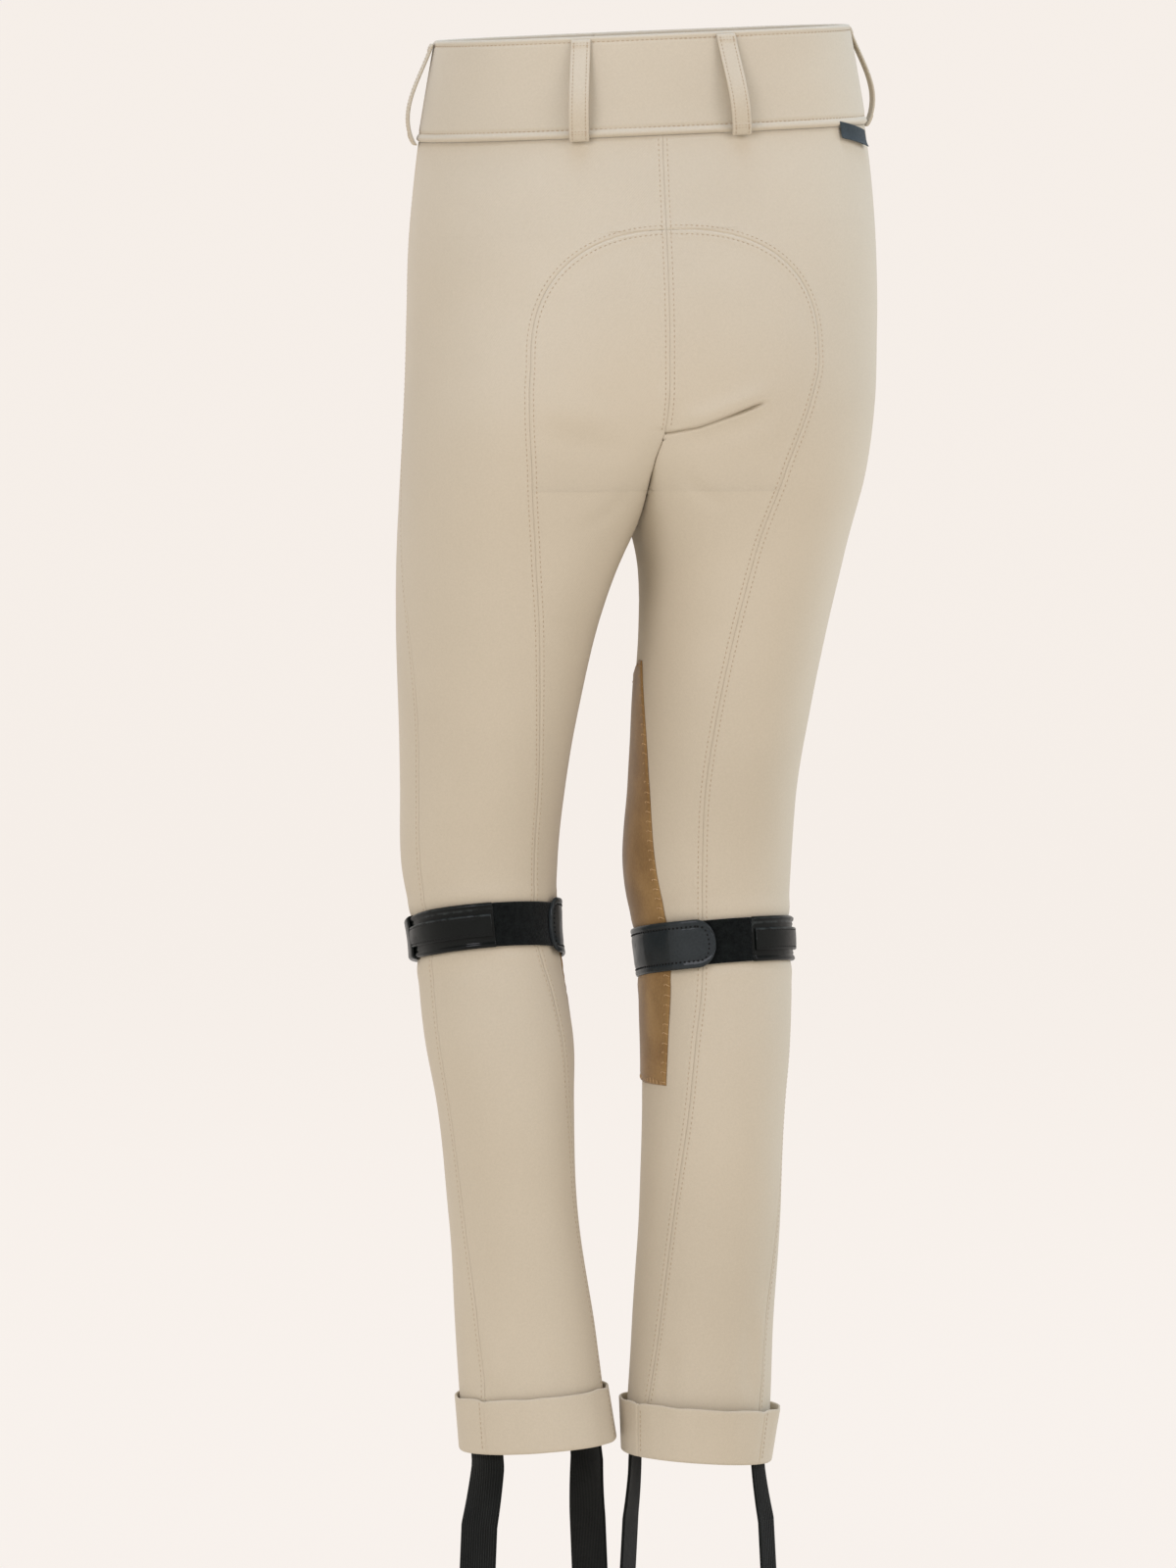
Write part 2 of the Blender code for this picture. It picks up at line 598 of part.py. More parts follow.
def build_foot_straps(elastic):
    """Elastic loop under each foot, sewn inside the cuff at its outer and inner side."""
    bottom, corner = FOOT_STRAP_BOTTOM, FOOT_STRAP_CORNER
    for word, side in SIDES.items():
        turn = FOOT_STRAP_TURN[word]
        inside = -WALL - FOOT_STRAP_CLEAR
        anchors = [point(side, turn, FOOT_STRAP_TOP, inside), point(side, turn - 180, FOOT_STRAP_TOP, inside)]
        outer, inner = anchors
        run = Vector((inner.x - outer.x, inner.y - outer.y, 0))
        span = run.length
        run.normalize()
        across = Vector((-run.y, run.x, 0))
        drop = FOOT_STRAP_TOP - bottom - corner
        bend = corner * math.pi / 2
        total = 2 * drop + 2 * bend + span - 2 * corner

        def route(distance, inset):
            """Place on the loop, as distances along the run and down, moved to the loop's inner side."""
            if distance > total / 2:
                s, z = route(total - distance, inset)
                return span - s, z
            if distance < drop:
                return inset, -distance
            if distance < drop + bend:
                swing = (distance - drop) / corner
                reach = corner - inset
                return corner - reach * math.cos(swing), -drop - reach * math.sin(swing)
            return corner + distance - drop - bend, -drop - corner + inset

        stations = [0, 0.25 * drop, 0.6 * drop, drop]
        stations += [drop + bend * k / 4 for k in (1, 2, 3, 4)]
        stations += [total - s for s in reversed(stations)]

        def place(u, v, depth):
            distance = stations[round(v * (len(stations) - 1))]
            s, z = route(distance, depth)
            s += (2 * s / span - 1) * FOOT_STRAP_SPLAY * ramp(-z, 0.25 * drop, drop)
            offset = FOOT_STRAP_WIDTH * (u - 0.5)
            straight = outer + run * s + across * offset + Vector((0, 0, z))
            if distance <= 0.6 * drop or distance >= total - 0.6 * drop:
                near = turn if distance < total / 2 else turn - 180
                way = 1 if distance < total / 2 else -1
                swing = math.degrees(offset / section(side, FOOT_STRAP_TOP).half_width) * way
                curved = point(side, near + side * swing, FOOT_STRAP_TOP + z, inside - depth)
                share = ramp(min(distance, total - distance), 0.25 * drop, 0.6 * drop)
                return curved.lerp(straight, share)
            return straight

        shell(f"foot_strap_{word}", elastic, len(stations) - 1, 2, place, wall=FOOT_STRAP_WALL)


def build_label(woven):
    """Small blank woven label over the waistband's lower edge, at the right of the back."""
    def place(u, v, depth):
        angle = LABEL_START + (LABEL_END - LABEL_START) * u
        height = LABEL_TOP - LABEL_HEIGHT * v
        return hip_point(angle, height, BAND_PROUD + GAP + LABEL_WALL - depth)

    shell("label", woven, 2, 2, place, wall=LABEL_WALL)


clear_scene()
garment = bpy.data.collections.new("jodhpurs")
bpy.context.scene.collection.children.link(garment)
FINISH = {name: make_material(name) for name in MATERIALS}
build_panels(FINISH["stretch_cloth"])
build_waistband(FINISH["stretch_cloth"], FINISH["button_plastic"])
build_loops(FINISH["stretch_cloth"])
build_fly(FINISH["stretch_cloth"])
build_patches(FINISH["suede"])
build_cuffs(FINISH["stretch_cloth"])
build_garters(FINISH["leather"], FINISH["pile"])
build_foot_straps(FINISH["elastic"])
build_label(FINISH["woven_label"])
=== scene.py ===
"""Looks of a child's riding jodhpurs in their hollow, worn shape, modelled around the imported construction.

Lengths are in millimetres until a mesh is written. The frame is the construction's own: +Z up, the front
faces -Y, the wearer's left is +X, and the origin is on the waist's axis at half the waistband's height. A
place on the form is named by its side, its angle in degrees (0 at the back, 90 at the outer side, 180 at the
front, 270 or -90 at the inner side) and its height.
"""

import logging
from collections.abc import Callable, Sequence
from dataclasses import dataclass, field
from enum import Enum
from functools import lru_cache, partial
from math import atan, atan2, ceil, copysign, cos, degrees, exp, hypot, pi, radians, sin, sqrt, tau
from typing import NamedTuple

import bmesh
import bpy
import numpy as np
from mathutils import Matrix, Vector, kdtree, noise


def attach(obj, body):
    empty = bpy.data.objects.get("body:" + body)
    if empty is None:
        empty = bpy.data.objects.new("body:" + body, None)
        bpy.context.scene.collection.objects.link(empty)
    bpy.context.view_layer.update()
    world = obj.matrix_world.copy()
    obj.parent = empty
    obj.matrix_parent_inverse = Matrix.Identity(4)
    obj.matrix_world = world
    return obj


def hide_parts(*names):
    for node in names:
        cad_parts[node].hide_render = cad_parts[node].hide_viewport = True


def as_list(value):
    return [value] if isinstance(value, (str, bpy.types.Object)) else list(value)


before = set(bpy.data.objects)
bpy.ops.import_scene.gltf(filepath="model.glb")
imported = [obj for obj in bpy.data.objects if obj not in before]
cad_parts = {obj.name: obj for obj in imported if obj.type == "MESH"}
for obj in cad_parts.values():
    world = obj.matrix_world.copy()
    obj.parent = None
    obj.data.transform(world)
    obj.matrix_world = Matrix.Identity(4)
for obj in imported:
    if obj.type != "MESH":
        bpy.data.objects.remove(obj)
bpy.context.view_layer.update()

MM = 0.001
LOG = logging.getLogger("jodhpurs")


class Side(Enum):
    """The wearer's left or right."""

    LEFT = 1
    RIGHT = -1

    @property
    def word(self) -> str:
        """Name used in the names of pieces."""
        return self.name.lower()


class Face(Enum):
    """Back or front of the garment."""

    BACK = "back"
    FRONT = "front"


class Held(Enum):
    """How a sheet is held, in the frame's words."""

    STRETCHED = "stretched"
    FOLDED = "folded"
    LAID = "laid"


LEFT, RIGHT = Side
BACK, FRONT = Face

class Depth(NamedTuple):
    """Reach of the sections to the back and to the front at a height."""

    height: float
    back: float
    front: float


class Leg(NamedTuple):
    """One leg's section at a height: its reach from the middle plane, and its seams' and patch's angles."""

    height: float
    outer: float
    inner: float
    side_seam: float
    seat_seam: float
    inseam: float
    patch_back: float
    patch_front: float


class Parting(NamedTuple):
    """Where the plane between the thighs lies at a height."""

    height: float
    offset: float


class Section(NamedTuple):
    """Rounded section of one side of the form."""

    centre_x: float
    centre_y: float
    half_width: float
    half_depth: float
    outer_power: float
    inner_power: float
    limit: float
    corner: float


class Spot(NamedTuple):
    """Place on the cloth, and the way out of the cloth there."""

    point: Vector
    outward: Vector


def facing(place: Callable[..., Vector], *where: float) -> Spot:
    """Spot of a function that places points, whose last value is how far out they are."""
    point = place(*where)
    return Spot(point, (place(*where[:-1], where[-1] + 1) - point).normalized())


def clamp(value: float, start: float, end: float) -> float:
    """0 at start, 1 at end, straight between."""
    return min(max((value - start) / (end - start), 0.0), 1.0)


def ease(value: float, start: float, end: float) -> float:
    """0 at start, 1 at end, smooth between."""
    share = clamp(value, start, end)
    return share * share * (3 - 2 * share)


def mix(start: float, end: float, share: float) -> float:
    """Value a share of the way from start to end."""
    return start + (end - start) * share


def bell(distance: float, width: float) -> float:
    """1 at no distance, fading over a width."""
    return exp(-(distance / width) ** 2)


def spread(start: float, end: float, step: float) -> list[float]:
    """Even values from start to end, about a step apart, both ends included."""
    count = max(round(abs(end - start) / step), 1)
    return [mix(start, end, k / count) for k in range(count + 1)]


def along(rows: Sequence[NamedTuple], column: str, height: float) -> float:
    """Value of a table's column at a height, on a smooth curve through the rows.

    Args:
        rows: the table's rows, from the highest down.
        column: name of the column.
        height: height in millimetres.

    Returns:
        The value there.
    """
    height = min(max(height, rows[-1].height), rows[0].height)
    last = len(rows) - 1
    upper = next(i for i in range(last) if height >= rows[i + 1].height)

    def value(i: int) -> float:
        """Value in a row."""
        return getattr(rows[i], column)

    def step(i: int) -> float:
        """Height from a row down to the next."""
        return rows[i].height - rows[i + 1].height

    def slope(i: int) -> float:
        """Slope at a row, from the straight runs on its two sides."""
        if i in (0, last):
            j = min(i, last - 1)
            return (value(j) - value(j + 1)) / step(j)
        before, after = step(i - 1), step(i)
        return ((value(i - 1) - value(i)) / before * after
                + (value(i) - value(i + 1)) / after * before) / (before + after)

    run = step(upper)
    t = (rows[upper].height - height) / run
    return ((2 * t ** 3 - 3 * t ** 2 + 1) * value(upper) - (t ** 3 - 2 * t ** 2 + t) * run * slope(upper)
            + (3 * t ** 2 - 2 * t ** 3) * value(upper + 1) - (t ** 3 - t ** 2) * run * slope(upper + 1))


DEPTHS = [Depth(*row) for row in (
    (28, 80, -84), (0, 82, -85), (-28, 85, -88), (-60, 93, -91), (-90, 100, -93), (-120, 105, -93),
    (-150, 106, -91), (-180, 103, -88), (-215, 95, -84), (-261, 82, -78), (-305, 73, -72), (-349, 64, -67),
    (-393, 55, -62), (-437, 46, -57), (-470, 45, -51), (-503, 50, -46), (-536, 54, -42), (-569, 55, -39),
    (-635, 50, -37), (-701, 46, -37), (-775, 45, -38))]

LEGS = {
    LEFT: [Leg(*row) for row in (
        (28, 115, -115, 100, 30, -90, -110, -150),
        (-28, 124.5, -124.5, 100, 30, -90, -110, -150),
        (-60, 128.5, -128.5, 100, 30, -90, -110, -150),
        (-90, 131, -131, 100, 30, -90, -110, -150),
        (-120, 132, -128, 100, 30, -90, -110, -150),
        (-150, 133, -95, 100, 28.6, -90, -110, -150),
        (-180, 134, -50, 98, 21.2, -90, -110, -150),
        (-215, 135.5, -14, 92, 10.2, -90, -110, -150),
        (-261, 137.7, 12, 80, -4, -106, -112, -152),
        (-305, 138.2, 26.6, 68, -16, -120, -112, -156),
        (-349, 136.6, 36.6, 60.5, -25, -128, -110, -166),
        (-393, 135.6, 43.9, 58.5, -33, -134, -106, -178),
        (-437, 135, 47.8, 56, -35.5, -138, -97, -186),
        (-481, 127, 48.5, 59, -37, -142, -86, -190),
        (-503, 126, 44.6, 60, -43.5, -144, -92, -188),
        (-536, 122.8, 40.2, 61, -49, -146, -96, -186),
        (-569, 117, 40.2, 62, -55, -148, -98, -182),
        (-635, 109.7, 37.4, 57, -64, -150, -98, -182),
        (-701, 105.6, 27.2, 48, -70, -152, -93, -182),
        (-775, 101, 18, 46, -72, -154, -93, -182))],
    RIGHT: [Leg(*row) for row in (
        (28, 115, -115, 100, 33, -90, -86, -128),
        (-28, 124.5, -124.5, 100, 33, -90, -86, -128),
        (-60, 128, -128, 100, 33, -90, -86, -128),
        (-90, 130, -130, 100, 33, -90, -86, -128),
        (-120, 130.5, -127, 100, 33, -90, -86, -128),
        (-150, 129.8, -96, 100, 36.3, -90, -86, -128),
        (-180, 128.8, -60, 100, 28.2, -90, -86, -128),
        (-215, 124.4, -24, 98, 13.3, -90, -86, -128),
        (-261, 113, -2.3, 96, -3.1, -104, -86, -128),
        (-305, 103.5, -1, 94, -10, -116, -86, -130),
        (-349, 94.8, -3.6, 92, -13.5, -120, -70, -142),
        (-393, 87.7, -5.6, 88, -15.5, -122, -58, -154),
        (-437, 84.6, -8.5, 84, -12.5, -124, -46, -162),
        (-481, 82.5, -4, 82, -15, -126, -41, -166),
        (-503, 83.6, -1.8, 80, -18.5, -128, -43, -164),
        (-536, 82.3, -0.2, 78, -25, -130, -48, -162),
        (-569, 79.3, -0.4, 74, -28.5, -134, -50, -160),
        (-635, 77.1, -2, 63, -39, -140, -50, -160),
        (-701, 73.4, -6, 51, -46, -144, -50, -160),
        (-775, 71, -10, 46, -60, -148, -50, -160))]}

PARTINGS = [Parting(*row) for row in (
    (28, 0), (-60, 0), (-110, -0.8), (-150, -1.2), (-180, -0.8), (-189, 0.2), (-196, 1.8), (-208, 4.4),
    (-219, 5.6), (-237, 6.3), (-255, 7), (-275, 7), (-775, 7))]


@dataclass(eq=False)
class GarmentForm:
    """Form that every piece lies on: a stack of rounded sections for each side, and its seams as angles."""

    gap: float = 0.3
    parted_gap: float = 0.02
    wall: float = 1.2
    band_half: float = 28.0
    arc_top: float = -80.0
    arc_bottom: float = -150.0
    arc_power: float = 2.35
    crotch_high: float = -195.0
    crotch_low: float = -225.0
    crotch_reach: float = 0.93
    legs_apart: float = -261.0
    hip_tilt: float = 0.04
    panel_end: float = 4.0
    arc_half_width: dict[Side, float] = field(default_factory=lambda: {LEFT: 75.2, RIGHT: 86.4})
    hem: dict[Side, float] = field(default_factory=lambda: {LEFT: -764.0, RIGHT: -772.0})

    @lru_cache(maxsize=None)
    def section(self, side: Side, height: float) -> Section:
        """Section of one side at a height.

        Args:
            side: the wearer's side.
            height: height in millimetres.

        Returns:
            The section's centre, half sizes, powers and the plane that cuts it.
        """
        rows = LEGS[side]
        outer, inner = along(rows, "outer", height), along(rows, "inner", height)
        back, front = along(DEPTHS, "back", height), along(DEPTHS, "front", height)
        freed = 60.0 * clamp(height, self.legs_apart, self.legs_apart - 30)
        gap = self.parted_gap * clamp(height, self.crotch_high + 2, self.crotch_high - 8)
        limit = side.value * along(PARTINGS, "offset", height) + gap - freed
        return Section((outer + inner) / 2, (back + front) / 2, (outer - inner) / 2, (back - front) / 2,
                       mix(2.35, 2.1, clamp(height, -200, -330)), mix(4.0, 2.15, clamp(height, -150, -300)),
                       limit, 2 * clamp(height, self.crotch_high, self.crotch_high - 20))

    def point(self, side: Side, angle: float, height: float, outward: float = 0.0,
              parted: bool = True) -> Vector:
        """Point of the form, moved out along its section's normal.

        Args:
            side: the wearer's side.
            angle: angle round the section in degrees.
            height: height in millimetres.
            outward: how far out of the form the point is.
            parted: whether the section is cut off at the plane between the thighs.

        Returns:
            The point in millimetres.
        """
        ring = self.section(side, height)
        sine, cosine = sin(radians(angle)), cos(radians(angle))
        power = ring.outer_power if sine >= 0 else ring.inner_power
        reach = (abs(sine) ** power + abs(cosine) ** power) ** (-1 / power)
        across, ahead = reach * sine, reach * cosine
        normal_x = copysign(abs(across) ** (power - 1), across) / ring.half_width
        normal_y = copysign(abs(ahead) ** (power - 1), ahead) / ring.half_depth
        x = ring.centre_x + ring.half_width * across
        y = ring.centre_y + ring.half_depth * ahead
        if parted:
            over = x - ring.limit
            bend = hypot(over, ring.corner)
            if height < self.crotch_high and bend > 0:
                normal_y *= (1 + over / bend) / 2
            x = ring.limit + (over + bend) / 2
        length = hypot(normal_x, normal_y)
        x += outward * normal_x / length
        y += outward * normal_y / length
        return Vector((side.value * x, y, height - side.value * x * self.tilt(height)))

    def tilt(self, height: float) -> float:
        """How far the sections slope down to the left, for the hips are level only below the crotch."""
        return self.hip_tilt * (1 - clamp(height, self.arc_bottom, self.crotch_low))

    def onto(self, side: Side, place: Vector) -> tuple[float, float]:
        """Angle and height of the form's nearest place to a point beside it."""
        x = side.value * place.x
        height = place.z + place.x * self.tilt(place.z)
        ring = self.section(side, height)
        if height < self.crotch_high and x < ring.limit + ring.corner:
            return self.angle_inside(ring, place.y), height
        across, ahead = (x - ring.centre_x) / ring.half_width, (place.y - ring.centre_y) / ring.half_depth
        return degrees(atan2(across, ahead)), height

    def spot(self, side: Side, angle: float, height: float) -> Spot:
        """Point of the form with its way out."""
        return facing(self.point, side, angle, height, 0.0)

    def hip_point(self, angle: float, height: float, outward: float = 0.0) -> Vector:
        """Point of the waist or hips, whose angle runs to 180 on the left and to -180 on the right."""
        angle = (angle + 180) % 360 - 180
        side = LEFT if angle >= 0 else RIGHT
        return self.point(side, abs(angle), height, outward, parted=False)

    def angle_across(self, ring: Section, x: float) -> float:
        """Angle, from the back, at which a section is at x from the middle plane."""
        share = (x - ring.centre_x) / ring.half_width
        if abs(share) < 1e-6:
            return 0.0
        power = ring.outer_power if share > 0 else ring.inner_power
        cotangent = max(abs(share) ** -power - 1, 0) ** (1 / power)
        return copysign(degrees(atan2(1, cotangent)), share)

    def angle_inside(self, ring: Section, y: float) -> float:
        """Angle, from the back round the inner side, at which a section is at depth y."""
        share = (y - ring.centre_y) / ring.half_depth
        tangent = max(max(abs(share), 1e-6) ** -ring.inner_power - 1, 0) ** (1 / ring.inner_power)
        turn = degrees(atan(tangent))
        return -turn if share > 0 else turn - 180

    def side_seam(self, side: Side, height: float) -> float:
        """Angle of the outer seam."""
        return along(LEGS[side], "side_seam", height)

    def inseam(self, side: Side, height: float) -> float:
        """Angle of the inner seam, from the crotch point down."""
        return along(LEGS[side], "inseam", min(height, self.crotch_low))

    def seat_seam(self, side: Side, height: float) -> float:
        """Angle of the seam down the back of the leg, below the arc."""
        straight = self.angle_across(self.section(side, height), self.arc_half_width[side])
        below = along(LEGS[side], "seat_seam", height)
        return mix(straight, below, clamp(height, self.arc_bottom, self.arc_bottom - 15))

    def crotch_offset(self, ring: Section, height: float) -> float:
        """How far the crotch seam is behind or before the middle of a section."""
        share = (height - self.crotch_low) / (self.crotch_high - self.crotch_low)
        return ring.half_depth * self.crotch_reach * sqrt(max(1 - (1 - share) ** 2, 0.0))

    def centre(self, face: Face, side: Side, height: float) -> float:
        """Angle of a face's centre seam, then of its half of the crotch seam, then of the inseam."""
        front = face is FRONT
        ring = self.section(side, height)
        if height >= self.crotch_high:
            angle = self.angle_across(ring, ring.limit)
            return 180 - angle if front else angle
        angle = self.inseam(side, height)
        if height > self.crotch_low:
            offset = self.crotch_offset(ring, height)
            angle = self.angle_inside(ring, ring.centre_y + (-offset if front else offset))
        return angle + 360 if front else angle

    def arc_point(self, side: Side, turn: float) -> tuple[float, float]:
        """Place on the seat seam's arc.

        Args:
            side: the wearer's side.
            turn: 0 at the arc's top on the centre back, 90 at its outer end.

        Returns:
            Height and angle.
        """
        turn = radians(turn)
        rise = self.arc_top - self.arc_bottom
        height = self.arc_bottom + rise * max(cos(turn), 0.0) ** (2 / self.arc_power)
        x = self.arc_half_width[side] * sin(turn) ** (2 / self.arc_power)
        ring = self.section(side, height)
        return height, self.angle_across(ring, max(x, ring.limit))

    def run(self, side: Side, height: float, start: float, end: float) -> tuple[np.ndarray, np.ndarray]:
        """Lengths along a section from one angle to another.

        Args:
            side: the wearer's side.
            height: height in millimetres.
            start: angle that the run starts at.
            end: angle that it ends at.

        Returns:
            Sampled angles, and the length from the start to each.
        """
        angles = np.linspace(start, end, 49)
        points = np.array([self.point(side, angle, height)[:] for angle in angles])
        steps = np.linalg.norm(np.diff(points, axis=0), axis=1)
        return angles, np.concatenate(([0.0], np.cumsum(steps)))


FORM = GarmentForm()


# ------------------------------------------------------------------ seams, creases and the cloth's relief

@dataclass(eq=False)
class Line:
    """Path over the cloth that answers how near a place is to it."""

    spots: list[Spot]
    spacing: float = 0.35

    def __post_init__(self) -> None:
        """Resample the path finely and index it."""
        fine: list[Vector] = []
        for first, second in zip(self.spots, self.spots[1:]):
            count = max(ceil((second.point - first.point).length / self.spacing), 1)
            fine += [first.point.lerp(second.point, k / count) for k in range(count)]
        fine.append(self.spots[-1].point)
        self.count = len(fine)
        self.tree = kdtree.KDTree(self.count)
        for index, place in enumerate(fine):
            self.tree.insert(place, index)
        self.tree.balance()

    def nearest(self, place: Vector) -> tuple[float, float]:
        """Distance from a place to the path, and how far along the path that is, from 0 to 1."""
        _, index, distance = self.tree.find(place)
        return distance, index / max(self.count - 1, 1)

    def beside(self, offset: float) -> list[Spot]:
        """The path moved sideways over the cloth, to its left as seen from outside for a positive offset."""
        moved = []
        last = len(self.spots) - 1
        for k, spot in enumerate(self.spots):
            ahead = self.spots[min(k + 1, last)].point - self.spots[max(k - 1, 0)].point
            aside = spot.outward.cross(ahead)
            if aside.length > 1e-6:
                moved.append(Spot(spot.point + aside.normalized() * offset, spot.outward))
        return moved


@dataclass(eq=False)
class Seam:
    """Sewn seam: the cloth dips into it, and its allowance makes a low ridge on each side.

    rows are the offsets of its rows of topstitching, to the left of the path as seen from outside, and
    rows_end is the height where they stop.
    """

    spots: list[Spot]
    rows: tuple[float, ...] = ()
    rows_end: float = -1000.0
    groove: float = 0.2
    groove_width: float = 0.6
    ridge: float = 0.22
    dimple: float = 0.14

    def __post_init__(self) -> None:
        """Index the seam's path."""
        self.line = Line(self.spots)

    def relief(self, place: Vector) -> float:
        """How far the cloth stands out at a place near the seam."""
        distance, _ = self.line.nearest(place)
        if distance > 9:
            return 0.0
        sewn = max((bell(distance - abs(row), 0.55) for row in self.rows), default=0.0)
        sunk = (self.groove + self.ridge) * bell(distance, self.groove_width)
        return self.ridge * (1 - ease(distance, 3.0, 6.5)) - sunk - self.dimple * sewn


@dataclass(eq=False)
class Crease:
    """Soft trough or ridge in the cloth, along a given path.

    Each point is x and height on the back or front face, or angle and height where face is None. A trough has
    a positive depth and a ridge a negative one.
    """

    side: Side
    face: Face | None
    points: tuple[tuple[float, float], ...]
    depth: float
    width: float
    fade: tuple[float, float] = (0.35, 0.35)

    def __post_init__(self) -> None:
        """Lay the path on the form."""
        spots = []
        for (x0, z0), (x1, z1) in zip(self.points, self.points[1:]):
            spots += [self.on_cloth(mix(x0, x1, k / 10), mix(z0, z1, k / 10)) for k in range(10)]
        spots.append(self.on_cloth(*self.points[-1]))
        self.line = Line(spots)

    def on_cloth(self, x: float, height: float) -> Spot:
        """Spot of a point of the path."""
        if self.face is None:
            return FORM.spot(self.side, x, height)
        ring = FORM.section(self.side, height)
        angle = FORM.angle_across(ring, max(self.side.value * x, ring.limit))
        return FORM.spot(self.side, 180 - angle if self.face is Face.FRONT else angle, height)

    def relief(self, place: Vector) -> float:
        """How far the cloth stands out at a place near the crease."""
        distance, share = self.line.nearest(place)
        if distance > 2.6 * self.width:
            return 0.0
        strength = ease(share, 0, self.fade[0]) * ease(1 - share, 0, self.fade[1])
        return -self.depth * bell(distance, self.width) * strength


def seam_between(side: Side, heights: Sequence[float],
                 angle_at: Callable[[Side, float], float]) -> list[Spot]:
    """Spots of a seam whose angle is a function of the height.

    Args:
        side: the wearer's side.
        heights: heights of the spots, in order.
        angle_at: the seam's angle at a height.

    Returns:
        The seam's spots.
    """
    return [FORM.spot(side, angle_at(side, height), height) for height in heights]


@dataclass(eq=False)
class SeamPlan:
    """All sewn seams of the panels, by side."""

    step: float = 2.5
    arc_step: float = 2.0
    row: float = 2.4
    centre_groove: float = 0.08
    crotch_turns: int = 24

    def __post_init__(self) -> None:
        """Draw every seam on the form."""
        self.seams: dict[Side, list[Seam]] = {side: self.of_side(side) for side in Side}

    def crotch_heights(self) -> list[float]:
        """Heights along the curved crotch seam, from its ends down to its lowest point."""
        turns = [pi / 2 * (1 - k / self.crotch_turns) for k in range(self.crotch_turns + 1)]
        return [mix(FORM.crotch_low, FORM.crotch_high, 1 - cos(turn)) for turn in turns]

    def of_side(self, side: Side) -> list[Seam]:
        """The seams that edge one side's panels."""
        top, hem = -FORM.band_half - 1, FORM.hem[side] + FORM.panel_end
        full = spread(top, hem, self.step)
        arc = [FORM.arc_point(side, turn) for turn in spread(0.5, 90, self.arc_step)]
        seat = [FORM.spot(side, angle, height) for height, angle in arc]
        seat += seam_between(side, spread(FORM.arc_bottom, hem, self.step)[1:], FORM.seat_seam)
        centre = spread(top, FORM.crotch_high, self.step) + self.crotch_heights()[1:]
        lower = spread(FORM.crotch_low, hem, self.step)
        row, end = self.row * side.value, FORM.crotch_high + 5
        back, front = (seam_between(side, centre, partial(FORM.centre, face)) for face in Face)
        return [Seam(seam_between(side, full, FORM.side_seam), (-row,)),
                Seam(seat, (-self.row, self.row)),
                Seam(back, (-row,), end, self.centre_groove),
                Seam(front, (row,), end, self.centre_groove),
                Seam(seam_between(side, lower, FORM.inseam))]


PLAN = SeamPlan()

